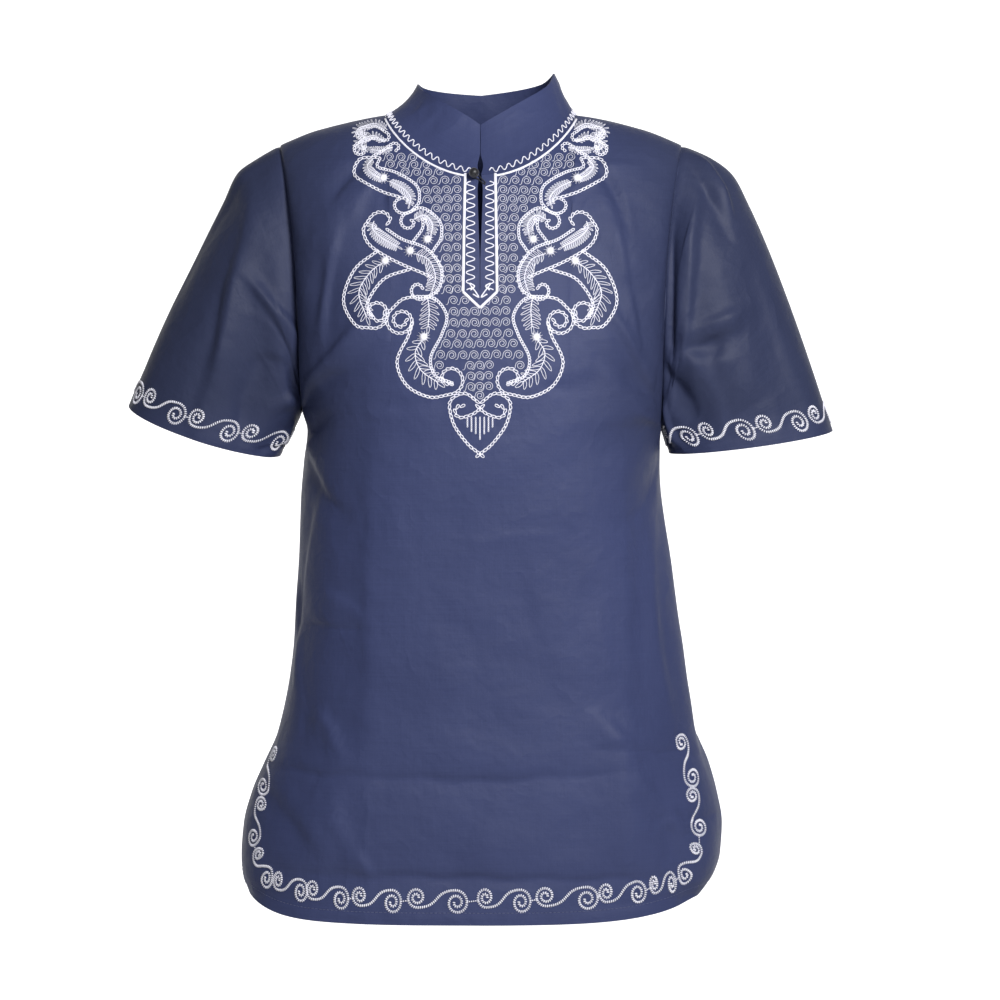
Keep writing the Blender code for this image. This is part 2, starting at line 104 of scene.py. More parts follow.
# %% A small language for materials
class Shade:
    """The output of a node, ready to be used in a sum."""

    def __init__(self, tree, socket=None):
        self.tree = tree
        self.socket = socket

    def object_place(self):
        """The place on the piece, in metres."""
        return self.node("ShaderNodeTexCoord", {}, {}, 3)

    def node(self, kind, settings, values, output=0):
        made = self.tree.nodes.new(kind)
        for name, value in settings.items():
            setattr(made, name, value)
        for name, value in values.items():
            if isinstance(value, Shade):
                self.tree.links.new(value.socket, made.inputs[name])
            else:
                made.inputs[name].default_value = value
        return Shade(self.tree, made.outputs[output])

    def math(self, operation, first, second=0.0):
        values = {0: first, 1: second}
        return self.node("ShaderNodeMath", {"operation": operation}, values)

    def mix(self, factor, first, second):
        values = {0: factor, 6: first, 7: second}
        return self.node("ShaderNodeMix", {"data_type": "RGBA"}, values, 2)

    def noise(self, place, scale, detail=3.0, roughness=0.5):
        values = {"Vector": place, "Scale": scale, "Detail": detail, "Roughness": roughness}
        return self.node("ShaderNodeTexNoise", {}, values)

    def stretched(self, place, scale):
        return self.node("ShaderNodeMapping", {}, {"Vector": place, "Scale": scale})

    def part(self, vector, axis):
        """One number of a vector: 0 is x, 1 is y and 2 is z."""
        return self.node("ShaderNodeSeparateXYZ", {}, {"Vector": vector}, axis)

    def between(self, value):
        """The value, held from 0 to 1."""
        return self.math("MINIMUM", self.math("MAXIMUM", value, 0.0), 1.0)

    def bump(self, height, distance, strength=1.0, normal=None):
        values = {"Height": height, "Distance": distance, "Strength": strength}
        if normal is not None:
            values["Normal"] = normal
        return self.node("ShaderNodeBump", {}, values)

    def __add__(self, other):
        return self.math("ADD", self, other)

    def __radd__(self, other):
        return self.math("ADD", other, self)

    def __sub__(self, other):
        return self.math("SUBTRACT", self, other)

    def __rsub__(self, other):
        return self.math("SUBTRACT", other, self)

    def __mul__(self, other):
        return self.math("MULTIPLY", self, other)

    def __rmul__(self, other):
        return self.math("MULTIPLY", other, self)


def new_material(name):
    """A material with nodes, its shader and a Shade to make nodes with."""
    material = bpy.data.materials.new(name)
    material.use_nodes = True
    shader = material.node_tree.nodes["Principled BSDF"]
    return material, shader, Shade(material.node_tree)


def feed(shade, shader, **values):
    """Link values that change over the surface to the shader."""
    for name, value in values.items():
        shade.tree.links.new(value.socket, shader.inputs[name.replace("_", " ")])


# %% [markdown]
# ## Polished cotton
# Polished cotton is a plain weave of fine threads, pressed until it has a soft shine. The
# weave is a product of two waves on the cloth's own UV map, which is in metres. A few of
# the threads are thicker, which shows as faint streaks. The colour and the shine wander a
# little, because the pressing is never quite even. The shoulders and sleeves are painted a
# darker navy than the body below, as painted shade, so one mask, made from the place on
# the shirt, blends the cloth's navy with the painted shade tone.
# The folds are in the mesh, and a bump adds only the crumpling that is too fine for it.

# %% Cotton
NAVY_DEEP = (0.026, 0.034, 0.090, 1.0)
NAVY_PALE = (0.045, 0.057, 0.140, 1.0)
# Painted shade: the darker navy painted on the shoulders and sleeves, and where and how fast it blends
# in.
PAINTED_SHADE_DEEP = (0.018, 0.023, 0.054, 1.0)
PAINTED_SHADE_PALE = (0.032, 0.040, 0.087, 1.0)
PAINTED_SHADE_FROM = 0.07
PAINTED_SHADE_OVER = -0.40
PAINTED_SHADE_STEEP = 8.0
THREAD_PITCH = 0.0007
WARP_STREAKS = (900.0, 22.0, 1.0)
WEFT_STREAKS = (18.0, 900.0, 1.0)
WEAVE_DEPTH = 0.00009
CRUMPLE_DEPTH = 0.0020
CRUMPLE_STRENGTH = 0.60
COTTON_SHINE = 0.17


def make_cotton(name):
    material, shader, shade = new_material(name)
    place = shade.object_place()
    cloth = shade.node("ShaderNodeUVMap", {"uv_map": "cloth"}, {})
    across = shade.part(cloth, 0)
    along = shade.part(cloth, 1)
    wave = 2 * math.pi / THREAD_PITCH
    weave = shade.math("SINE", across * wave) * shade.math("SINE", along * wave)
    warp = shade.noise(shade.stretched(cloth, WARP_STREAKS), 1.0, 2.0)
    weft = shade.noise(shade.stretched(cloth, WEFT_STREAKS), 1.0, 2.0)
    clouds = shade.noise(place, 7.0, 4.0, 0.6)
    grain = shade.noise(place, 420.0, 2.0)
    tone = clouds * 0.60 + warp * 0.30 + weft * 0.40 + grain * 0.10 - 0.20
    # The mask of the painted shade: 1 on the shoulders and sleeves, where the navy is painted darker.
    beside = shade.math("ABSOLUTE", shade.part(place, 0)) - PAINTED_SHADE_FROM
    above = shade.part(place, 2) - PAINTED_SHADE_OVER
    painted_shade_mask = shade.between(beside * PAINTED_SHADE_STEEP) * shade.between(above * PAINTED_SHADE_STEEP)
    bright_cloth = shade.mix(tone, NAVY_DEEP, NAVY_PALE)
    painted_shade_cloth = shade.mix(tone, PAINTED_SHADE_DEEP, PAINTED_SHADE_PALE)
    crumple = shade.math("ABSOLUTE", shade.noise(place, 13.0, 3.0, 0.55) - 0.5)
    soft = shade.noise(place, 30.0, 4.0, 0.62)
    threads = shade.bump(weave * 0.5 + warp * 0.7 + weft * 0.5, WEAVE_DEPTH, 0.6)
    feed(
        shade,
        shader,
        Base_Color=shade.mix(painted_shade_mask, bright_cloth, painted_shade_cloth),
        Roughness=0.40 + clouds * 0.14 + grain * 0.06,
        Normal=shade.bump(crumple * -4.0 + soft, CRUMPLE_DEPTH, CRUMPLE_STRENGTH, threads),
    )
    shader.inputs["Specular IOR Level"].default_value = COTTON_SHINE
    return material


cotton = make_cotton("navy_polished_cotton")
print("cotton threads per cm", round(0.01 / THREAD_PITCH))

# %% [markdown]
# ## Thread, cloth ball and cord
# Embroidery thread is rayon: many fine filaments laid side by side, smooth and bright. The
# thin running spirals look greyer, because one strand lets the navy show through. The ball
# and its loop are dark cloth, so they get a rough finish with fine ribs.

# %% Thread and dark cord
THREAD_STRANDS = 2600
CORD_RIBS = 1500
STRAND_DEPTH = 0.00012
THREAD_SHEEN = 0.2


def make_thread(name, dark, pale, ribs):
    material, shader, shade = new_material(name)
    place = shade.object_place()
    strands = shade.noise(place, ribs, 2.0)
    clouds = shade.noise(place, 60.0, 2.0)
    feed(
        shade,
        shader,
        Base_Color=shade.mix(strands * 0.7 + clouds * 0.3, dark, pale),
        Roughness=0.34 + clouds * 0.22,
        Normal=shade.bump(strands, STRAND_DEPTH, 0.6),
    )
    shader.inputs["Sheen Weight"].default_value = THREAD_SHEEN
    return material


THREAD_ROWS = (
    # name, dark colour, pale colour, ribs
    ("bright_thread", (0.62, 0.62, 0.72, 1), (0.92, 0.91, 0.98, 1), THREAD_STRANDS),
    ("fine_thread", (0.50, 0.51, 0.60, 1), (0.76, 0.76, 0.84, 1), THREAD_STRANDS),
    ("navy_thread", (0.030, 0.038, 0.105, 1), (0.07, 0.085, 0.20, 1), THREAD_STRANDS),
    ("dark_cloth", (0.002, 0.002, 0.004, 1), (0.007, 0.007, 0.011, 1), CORD_RIBS),
)
bright_thread, fine_thread, navy_thread, dark_cloth = [make_thread(*row) for row in THREAD_ROWS]
print("threads and cord", [row[0] for row in THREAD_ROWS])

# %% [markdown]
# ## The form of the shirt
# The body is a stack of rounded rings, one for each height. The sizes are those of the CAD
# model, so the sheets lie exactly where the solids do. Each table is read on a smooth curve,
# so a short table gives a soft outline.

# %% Sizes of the body
SEAM_GAP = 0.0003
BODY_ROWS = (
    # z, left, right, front, back
    (-0.2600, 0.1672, 0.1680, 0.1270, 0.1080),
    (-0.2800, 0.1672, 0.1680, 0.1280, 0.1070),
    (-0.3010, 0.1624, 0.1676, 0.1280, 0.1055),
    (-0.3300, 0.1660, 0.1676, 0.1270, 0.1030),
    (-0.3850, 0.1692, 0.1712, 0.1230, 0.1010),
    (-0.4420, 0.1712, 0.1786, 0.1190, 0.1010),
    (-0.4980, 0.1746, 0.1874, 0.1170, 0.1030),
    (-0.5550, 0.1834, 0.1948, 0.1160, 0.1060),
    (-0.5830, 0.1902, 0.2014, 0.1160, 0.1080),
    (-0.6110, 0.2022, 0.2130, 0.1160, 0.1090),
    (-0.6390, 0.2140, 0.2206, 0.1160, 0.1100),
    (-0.6670, 0.2212, 0.2252, 0.1160, 0.1100),
    (-0.6950, 0.2230, 0.2232, 0.1150, 0.1100),
    (-0.7130, 0.2215, 0.2172, 0.1140, 0.1090),
    (-0.7300, 0.2156, 0.2045, 0.1140, 0.1090),
)
RING_POWER = 2.3
HEM_MIDDLE_Z = -0.7470
HEM_CORNER_RISE = 0.0180
HEM_CORNER_POWER = {-1: 9.0, 1: 4.5}
VENT_TOP_Z = -0.5880
VENT_SPREAD = 0.0130
VENT_RAMP = 0.13
SHOULDER_ROWS = (
    # x, z
    (0.0000, 0.0000),
    (0.0450, -0.0015),
    (0.0900, -0.0060),
    (0.1520, -0.0195),
    (0.1880, -0.0335),
)
SHOULDER_HALF = 0.1880
SHOULDER_POWER = {"front": 2.3, "back": 2.9}
NECK_HALF = 0.0900
NECK_Z = {"front": -0.0700, "back": -0.0150}
NECK_POWER = {"front": 1.5, "back": 2.0}
ARMPIT_Z = {-1: -0.2800, 1: -0.2970}
ARMHOLE_DEPTH = {"front": 0.0620, "back": 0.0600}
ARMHOLE_BOW = 3.0
RING_ROUND = 0.9
SLIT_ROWS = (
    # z, half gap
    (-0.1760, 0.0002),
    (-0.1500, 0.0003),
    (-0.1200, 0.0013),
    (-0.0830, 0.0023),
    (-0.0720, 0.0012),
    (-0.0600, 0.0012),
)


# %% Reading a table on a smooth curve
def smooth(rows, column, at):
    """A column of a table at values of its first column."""
    rows = np.array(rows, float)
    if rows[0, 0] > rows[-1, 0]:
        rows = rows[::-1]
    xs, ys = rows[:, 0], rows[:, column]
    at = np.clip(at, xs[0], xs[-1])
    i = np.clip(np.searchsorted(xs, at) - 1, 0, len(xs) - 2)
    steps = np.diff(ys) / np.diff(xs)
    here = steps[i]

    def slope(other):
        product = other * here
        total = np.where(product > 0, other + here, 1.0)
        return np.where(product > 0, 2 * product / total, 0.0)

    start = slope(steps[np.maximum(i - 1, 0)])
    end = slope(steps[np.minimum(i + 1, len(steps) - 1)])
    h = xs[i + 1] - xs[i]
    t = (at - xs[i]) / h
    return (
        ys[i] * (1 + 2 * t) * (1 - t) ** 2
        + start * h * t * (1 - t) ** 2
        + ys[i + 1] * t * t * (3 - 2 * t)
        + end * h * t * t * (t - 1)
    )


def by_side(values, u):
    """The value of the left or of the right side."""
    return np.where(u < 0, values[-1], values[1])


def half_width(u, z):
    """The width from the middle to the left or to the right side at a height."""
    return np.where(u < 0, smooth(BODY_ROWS, 1, z), smooth(BODY_ROWS, 2, z))


# %% [markdown]
# ## Folds and creases
# A worn shirt has large soft folds from the shoulders and armpits, and this one also keeps
# the lines where it lay folded in its packet. A fold is a rounded bump along a line. A
# crease is a smaller one with one side steeper than the other, and a pressed line or edge
# has a sharp top. All swell and fade along their length, so no two look alike. The large
# folds are those of the CAD solids. The tables are in metres across and up.

# %% Tables of folds and creases
FOLD_ROWS = {
    "front": (
        # x0, z0, x1, z1, half width, height
        (-0.118, -0.075, -0.156, -0.150, 0.020, 0.0060),
        (-0.136, -0.150, -0.150, -0.240, 0.020, -0.0060),
        (0.112, -0.090, 0.152, -0.165, 0.020, 0.0060),
        (0.134, -0.170, 0.150, -0.260, 0.020, -0.0055),
        (-0.140, -0.330, -0.150, -0.560, 0.022, 0.0040),
        (0.143, -0.340, 0.150, -0.560, 0.022, -0.0045),
        (0.118, -0.570, 0.150, -0.690, 0.024, 0.0060),
        (-0.120, -0.580, -0.158, -0.700, 0.024, 0.0050),
    ),
    "back": (
        (-0.100, -0.110, -0.145, -0.210, 0.022, -0.0055),
        (0.110, -0.120, 0.150, -0.220, 0.022, -0.0055),
        (-0.060, -0.330, -0.085, -0.600, 0.024, 0.0050),
        (0.070, -0.380, 0.060, -0.650, 0.024, 0.0055),
        (0.135, -0.450, 0.160, -0.690, 0.022, -0.0050),
    ),
}
# A crease is soft, a pressed line or a pressed edge. Each kind has the factors that its half
# width gets on the right and on the left, as seen along the crease, and the power of its top.
SOFT = (1.6, 0.65, 2.0)
LINE = (1.6, 0.50, 1.0)
EDGE = (1.3, 3.00, 1.0)
CREASE_ROWS = {
    "front": (
        # across0, z0, across1, z1, half width, height, kind
        (-0.100, -0.225, -0.103, -0.745, 0.020, 0.0060, EDGE),
        (0.139, -0.715, 0.134, -0.205, 0.020, 0.0054, EDGE),
        (-0.200, -0.478, -0.105, -0.482, 0.009, -0.0034, LINE),
        (-0.215, -0.611, 0.000, -0.617, 0.010, -0.0042, LINE),
        (-0.020, -0.619, 0.120, -0.611, 0.010, -0.0038, LINE),
        (0.110, -0.588, 0.245, -0.602, 0.009, -0.0034, LINE),
        (-0.190, -0.702, 0.195, -0.708, 0.010, -0.0034, LINE),
        (0.160, -0.652, 0.265, -0.658, 0.008, -0.0028, LINE),
        (-0.094, -0.270, -0.020, -0.274, 0.007, -0.0020, SOFT),
        (0.058, -0.256, 0.114, -0.259, 0.007, -0.0020, SOFT),
        (-0.020, -0.400, 0.060, -0.394, 0.008, 0.0012, LINE),
        (-0.150, -0.452, -0.108, -0.470, 0.006, 0.0018, SOFT),
        (0.100, -0.470, 0.128, -0.520, 0.006, 0.0014, SOFT),
        (-0.205, -0.262, -0.122, -0.190, 0.010, 0.0040, SOFT),
        (-0.208, -0.288, -0.118, -0.246, 0.009, -0.0036, SOFT),
        (-0.208, -0.306, -0.112, -0.300, 0.010, 0.0036, SOFT),
        (-0.206, -0.330, -0.120, -0.372, 0.011, -0.0030, SOFT),
        (0.210, -0.252, 0.122, -0.180, 0.010, 0.0044, SOFT),
        (0.212, -0.280, 0.118, -0.228, 0.009, -0.0040, SOFT),
        (0.214, -0.304, 0.120, -0.292, 0.010, 0.0038, SOFT),
        (0.212, -0.330, 0.128, -0.380, 0.011, -0.0032, SOFT),
        (-0.206, -0.054, -0.150, -0.052, 0.004, 0.0016, LINE),
        (0.130, -0.060, 0.212, -0.058, 0.004, 0.0018, LINE),
        (-0.150, -0.050, -0.190, -0.096, 0.008, -0.0030, SOFT),
        (-0.116, -0.044, -0.164, -0.106, 0.009, 0.0028, SOFT),
        (-0.184, -0.120, -0.170, -0.220, 0.009, 0.0034, SOFT),
        (0.116, -0.048, 0.176, -0.100, 0.009, 0.0032, SOFT),
        (0.148, -0.052, 0.194, -0.124, 0.008, -0.0034, SOFT),
        (0.100, -0.068, 0.140, -0.140, 0.008, -0.0020, SOFT),
        (0.186, -0.120, 0.172, -0.224, 0.009, 0.0036, SOFT),
        (-0.240, -0.350, -0.205, -0.575, 0.014, 0.0042, SOFT),
        (0.240, -0.370, 0.214, -0.600, 0.014, 0.0042, SOFT),
        (-0.176, -0.350, -0.190, -0.540, 0.012, -0.0030, SOFT),
        (0.184, -0.390, 0.192, -0.570, 0.012, 0.0030, SOFT),
        (-0.060, -0.360, -0.036, -0.600, 0.022, 0.0020, SOFT),
        (0.045, -0.390, 0.074, -0.575, 0.022, -0.0022, SOFT),
        (0.010, -0.600, -0.020, -0.730, 0.026, -0.0020, SOFT),
        (-0.235, -0.636, -0.146, -0.692, 0.013, -0.0036, SOFT),
        (0.146, -0.636, 0.220, -0.728, 0.013, -0.0038, SOFT),
        (0.108, -0.552, 0.136, -0.604, 0.007, 0.0044, SOFT),
        (0.150, -0.606, 0.190, -0.668, 0.007, 0.0038, SOFT),
        (-0.128, -0.636, -0.104, -0.704, 0.007, 0.0032, SOFT),
        (-0.160, -0.560, -0.120, -0.600, 0.007, 0.0034, SOFT),
    ),
    "back": (
        (-0.112, -0.180, -0.106, -0.745, 0.020, 0.0054, EDGE),
        (0.114, -0.740, 0.108, -0.190, 0.020, 0.0054, EDGE),
        (-0.210, -0.476, 0.060, -0.482, 0.009, -0.0026, LINE),
        (-0.150, -0.616, 0.220, -0.609, 0.010, -0.0040, LINE),
        (-0.210, -0.700, 0.170, -0.706, 0.010, -0.0034, LINE),
        (-0.040, -0.300, 0.140, -0.288, 0.009, 0.0026, LINE),
        (-0.205, -0.260, -0.116, -0.186, 0.010, 0.0044, SOFT),
        (-0.208, -0.290, -0.108, -0.238, 0.010, -0.0038, SOFT),
        (-0.208, -0.320, -0.112, -0.352, 0.011, 0.0034, SOFT),
        (0.205, -0.255, 0.116, -0.176, 0.010, 0.0044, SOFT),
        (0.208, -0.285, 0.112, -0.236, 0.010, -0.0038, SOFT),
        (0.210, -0.316, 0.118, -0.344, 0.011, 0.0034, SOFT),
        (-0.075, -0.060, -0.026, -0.140, 0.013, 0.0024, SOFT),
        (0.080, -0.062, 0.032, -0.150, 0.013, 0.0024, SOFT),
        (-0.140, -0.050, -0.182, -0.110, 0.010, -0.0030, SOFT),
        (0.140, -0.050, 0.184, -0.116, 0.010, 0.0030, SOFT),
        (-0.235, -0.370, -0.200, -0.580, 0.014, 0.0042, SOFT),
        (0.235, -0.360, 0.205, -0.600, 0.014, 0.0042, SOFT),
        (-0.010, -0.400, 0.020, -0.700, 0.022, -0.0028, SOFT),
        (-0.150, -0.480, -0.168, -0.725, 0.017, 0.0036, SOFT),
        (0.160, -0.540, 0.188, -0.735, 0.016, 0.0038, SOFT),
        (0.020, -0.200, -0.034, -0.340, 0.018, 0.0022, SOFT),
    ),
}


# %% How high a fold lifts the cloth
def fold_height(face, x, z):
    """The sum of the large folds of one face."""
    total = np.zeros_like(x)
    for x0, z0, x1, z1, width, height in FOLD_ROWS[face]:
        ax, az = x1 - x0, z1 - z0
        part = ((x - x0) * ax + (z - z0) * az) / (ax * ax + az * az)
        near = np.clip(part, 0.0, 1.0)
        away = np.hypot(x - x0 - near * ax, z - z0 - near * az)
        fade = np.sin(math.pi * np.clip(0.08 + 0.84 * part, 0.0, 1.0)) ** 0.8
        total += height * fade * np.exp(-((away / width) ** 2))
    return total


def crease_height(rows, across, up):
    """The sum of the creases in a table, each bent a little and uneven along its length."""
    total = np.zeros_like(across)
    for x0, z0, x1, z1, width, height, (beyond, before, power) in rows:
        ax, az = x1 - x0, z1 - z0
        long = math.hypot(ax, az)
        part = ((across - x0) * ax + (up - z0) * az) / long**2
        away = ((across - x0) * az - (up - z0) * ax) / long
        phase = 40 * (x0 + z1)
        if power > 1:
            away = away + 0.10 * long * np.sin(2.6 * part + phase)
        else:
            away = away + 0.0012 * np.sin(30 * part * long / 0.3 + phase)
        fade = np.sin(math.pi * np.clip(0.06 + 0.88 * part, 0.0, 1.0)) ** 0.7
        uneven = 1 + 0.35 * np.sin(7.0 * part + phase) * np.sin(3.1 * part + 2 * phase)
        wide = width * (1 + 0.25 * np.sin(4.3 * part + phase))
        ratio = np.abs(away) / (wide * np.where(away > 0, beyond, before))
        total += height * fade * uneven * np.exp(-(ratio**power))
    return total


def ripple(across, up, size):
    """A faint unevenness all over, as cloth has that was folded and worn."""
    one = np.sin(38 * across + 7 * np.sin(11 * up) + 1.0) * np.sin(27 * up + 1.4)
    two = np.sin(71 * across - 3 * np.sin(19 * up) + 0.3) * np.sin(52 * up + 9 * across)
    return size * (0.7 * one + 0.3 * two)


# %% [markdown]
# ## Front and back
# Both panels come from one rule: a place across the ring and a height give a point. Below
# the armpit the ring keeps its form, and above it closes over the shoulder. Two more numbers
# per point, the distance across the cloth and the height, place the creases and the weave.


# %% The rule of the panels
def panel_surface(face, u, v):
    """Points at u from -1 to 1 across and v from 0, the hem, over 1, the armpit, to 2."""
    front = face == "front"
    a = np.abs(u) * (math.pi / 2)
    s = np.sin(a) ** (2 / RING_POWER)
    c = np.maximum(np.cos(a), 0.0) ** (2 / RING_POWER)
    middle = (ARMPIT_Z[-1] + ARMPIT_Z[1]) / 2
    under = middle + (by_side(ARMPIT_Z, u) - middle) * s
    hem = HEM_MIDDLE_Z + HEM_CORNER_RISE * s ** by_side(HEM_CORNER_POWER, u)
    low_z = hem + (under - hem) * np.minimum(v, 1.0)
    low_x = s * half_width(u, low_z)
    deep = smooth(BODY_ROWS, 3 if front else 4, low_z)
    open_by = np.clip((VENT_TOP_Z - low_z) / VENT_RAMP, 0.0, 1.2) ** 1.4 * VENT_SPREAD
    gap = SEAM_GAP / 2 + open_by
    low_y = gap + (deep - gap) * c
    t = np.clip(v - 1.0, 0.0, 1.0)
    x_top = s * SHOULDER_HALF
    ridge = smooth(SHOULDER_ROWS, 1, x_top)
    inside = np.clip(1 - (x_top / NECK_HALF) ** 2, 0.0, 1.0) ** (NECK_POWER[face] / 2)
    edge = smooth(SHOULDER_ROWS, 1, NECK_HALF)
    top = np.where(x_top < NECK_HALF, edge + (NECK_Z[face] - edge) * inside, ridge)
    power = SHOULDER_POWER[face]
    reach = (top - under) / (ridge - under)
    last = np.arcsin(np.clip(reach, 0.0, 1.0) ** (power / 2))
    inner = np.sin(t * last) ** (2 / power) / reach
    outer = (1 - np.cos(math.pi * t)) / 2
    part = (1 - s**4) * inner + s**4 * outer
    rise = np.clip(part * reach, 0.0, 1.0)
    wide = half_width(u, under)
    high_x = s * (wide + (SHOULDER_HALF - wide) * rise**ARMHOLE_BOW)
    deep = smooth(BODY_ROWS, 3 if front else 4, under) * (1 - rise**power) ** (1 / power)
    hole = ARMHOLE_DEPTH[face] * (2 * np.sqrt(rise * (1 - rise))) ** RING_ROUND
    high_y = SEAM_GAP / 2 + hole + (deep - hole) * c
    high_y = np.where(s > 0.999, SEAM_GAP / 2 + hole, high_y)
    low = v <= 1.0
    x = np.where(low, low_x, high_x) * np.where(u < 0, -1, 1)
    z = np.where(low, low_z, under + (top - under) * part)
    mask = (1 - s**6) * np.where(low, np.minimum(1.0, v * 8), np.minimum(1.0, (1 - t) * 5))
    y = np.where(low, low_y, high_y) + mask * fold_height(face, x, z)
    return np.stack([x, -y if front else y, z], -1)


def unit(vectors):
    return vectors / np.maximum(np.linalg.norm(vectors, axis=-1, keepdims=True), 1e-12)


def grid_normals(points, flip=False):
    """The direction away from the cloth at each point of a grid."""
    across = np.gradient(points, axis=1)
    up = np.gradient(points, axis=0)
    normals = unit(np.cross(across, up))
    return -normals if flip else normals


def arc_lengths(points, middle):
    """Distance along each row of a grid, measured from its middle column."""
    steps = np.linalg.norm(np.diff(points, axis=1), axis=2)
    total = np.concatenate([np.zeros((len(points), 1)), np.cumsum(steps, 1)], 1)
    return total - total[:, middle : middle + 1]


# %% The grids of front and back
NECK_COLUMNS = 32
SIDE_COLUMNS = 48
ROWS_BELOW = 172
ROWS_ABOVE = 84
HEM_FOLD = 0.012
HEM_STEP = 0.0005
SEAM_DIP = 0.0003
SEAM_UNDER = 0.0013
SEAM_TUCK = 0.0012
SEAM_WIDTH = 0.0025
SOFT_ROWS = 9.0
SOFT_ROUNDS = 60
RIPPLE = 0.0010
HEM_SLOPE = 0.003


def gathered(count, end=1.6):
    """Steps from 0 to 1 that get closer towards the end."""
    return 1 - (1 - np.linspace(0, 1, count + 1)) ** end


def column_at(turn):
    """The place across a panel that meets the neck edge at a turn round the neck."""
    s = NECK_HALF / SHOULDER_HALF * np.abs(np.sin(turn))
    u = np.arcsin(s ** (RING_POWER / 2)) / (math.pi / 2)
    return u * np.where(np.sin(turn) < 0, -1, 1)


def soften_armpits(points, u):
    """Rounds the line at the armpits, where the lower rings meet the upper ones."""
    free = np.clip((1 - np.abs(u[1:-1])) * 20, 0.0, 1.0)
    rows = np.arange(1, len(points) - 1)[:, None]
    near = free * np.exp(-(((rows - ROWS_BELOW) / SOFT_ROWS) ** 2))
    depth = points[..., 1]
    for _ in range(SOFT_ROUNDS):
        depth[1:-1] += 0.5 * near * (depth[2:] / 2 + depth[:-2] / 2 - depth[1:-1])


def panel_grid(face):
    """The points of a panel with its creases and turned hems, and the distance across."""
    right = column_at(np.linspace(0, math.pi / 2, NECK_COLUMNS + 1))
    outer = right[-1] + (1 - right[-1]) * gathered(SIDE_COLUMNS)[1:]
    right = np.concatenate([right, outer])
    across = np.concatenate([-right[:0:-1], right])
    heights = np.concatenate(
        [np.linspace(0, 1, ROWS_BELOW + 1), 1 + np.linspace(0, 1, ROWS_ABOVE + 1)[1:]]
    )
    u, v = np.meshgrid(across, heights)
    points = panel_surface(face, u, v)
    soften_armpits(points, u)
    cloth = arc_lengths(points, len(right) - 1)
    z = points[..., 2]
    edge = np.abs(cloth[:, -1:]) - np.abs(cloth)
    hem = np.linalg.norm(points - points[:1], axis=2)
    seam = np.where(z < VENT_TOP_Z, np.minimum(edge, hem), hem)
    band = HEM_STEP * np.clip((HEM_FOLD - seam) / HEM_SLOPE, 0.0, 1.0)
    calm = np.clip((2 - v) * 8, 0.0, 1.0) * np.clip((1 - np.abs(u)) * 9, 0.0, 1.0)
    lift = crease_height(CREASE_ROWS[face], cloth, z) + ripple(cloth, z, RIPPLE)
    near = np.exp(-((edge / SEAM_WIDTH) ** 2)) * (z > VENT_TOP_Z)
    dip = SEAM_DIP if face == "front" else np.where(v < 1, SEAM_UNDER, SEAM_DIP)
    normals = grid_normals(points, face == "back")
    points = points + normals * (lift * calm + band - dip * near)[..., None]
    if face == "back":
        points[..., 1] -= SEAM_TUCK * near * (v < 1)
    return points, cloth


panel_points = {}
panel_cloth = {}
for face in ("front", "back"):
    panel_points[face], panel_cloth[face] = panel_grid(face)
    print(face, "grid", panel_points[face].shape)

# %% [markdown]
# ## From a grid to a piece of cloth
# A grid of points becomes faces, gets its UV map, and then its thickness from a Solidify
# modifier, which is applied. Every cut edge is closed by that, and the faces point outwards.


# %% Making a sheet
SMOOTH_ANGLE = 55
SAME_POINT = 1e-6


def grid_faces(index, flip=False):
    """Faces between the rows and columns of a grid of point numbers."""
    left, right = index[:, :-1], index[:, 1:]
    quads = np.stack([left[:-1], right[:-1], right[1:], left[1:]], -1).reshape(-1, 4)
    return quads[:, ::-1] if flip else quads


def cut_faces(index, middle):
    """Faces of a grid that is cut open after its middle column."""
    left = grid_faces(index[:, : middle + 1])
    right = grid_faces(index[:, middle + 1 :])
    return np.concatenate([left, right])


def add_piece(name, points, faces, material):
    mesh = bpy.data.meshes.new(name)
    mesh.from_pydata(np.asarray(points).reshape(-1, 3).tolist(), [], faces)
    mesh.validate()
    mesh.materials.append(material)
    piece = bpy.data.objects.new(name, mesh)
    bpy.context.scene.collection.objects.link(piece)
    return piece


def select_only(piece):
    bpy.ops.object.select_all(action="DESELECT")
    piece.select_set(True)
    bpy.context.view_layer.objects.active = piece


def add_cloth(name, points, cloth, faces, wall, material):
    """A sheet with a UV map in metres and a wall laid inwards."""
    piece = add_piece(name, points, faces.tolist(), material)
    layer = piece.data.uv_layers.new(name="cloth")
    corners = np.zeros(len(piece.data.loops), int)
    piece.data.loops.foreach_get("vertex_index", corners)
    layer.data.foreach_set("uv", np.asarray(cloth).reshape(-1, 2)[corners].ravel())
    select_only(piece)
    bpy.ops.object.mode_set(mode="EDIT")
    bpy.ops.mesh.select_all(action="SELECT")
    bpy.ops.mesh.remove_doubles(threshold=SAME_POINT)
    bpy.ops.object.mode_set(mode="OBJECT")
    solid = piece.modifiers.new("wall", "SOLIDIFY")
    solid.thickness = wall
    solid.offset = -1.0
    bpy.ops.object.modifier_apply(modifier="wall")
    bpy.ops.object.shade_smooth_by_angle(angle=math.radians(SMOOTH_ANGLE))
    area = sum(polygon.area for polygon in piece.data.polygons) / 2
    print(name, "area", round(area, 4), "m2,", len(piece.data.polygons) * 2, "triangles")
    return piece


# %% Front and back
CLOTH_WALL = 0.0008


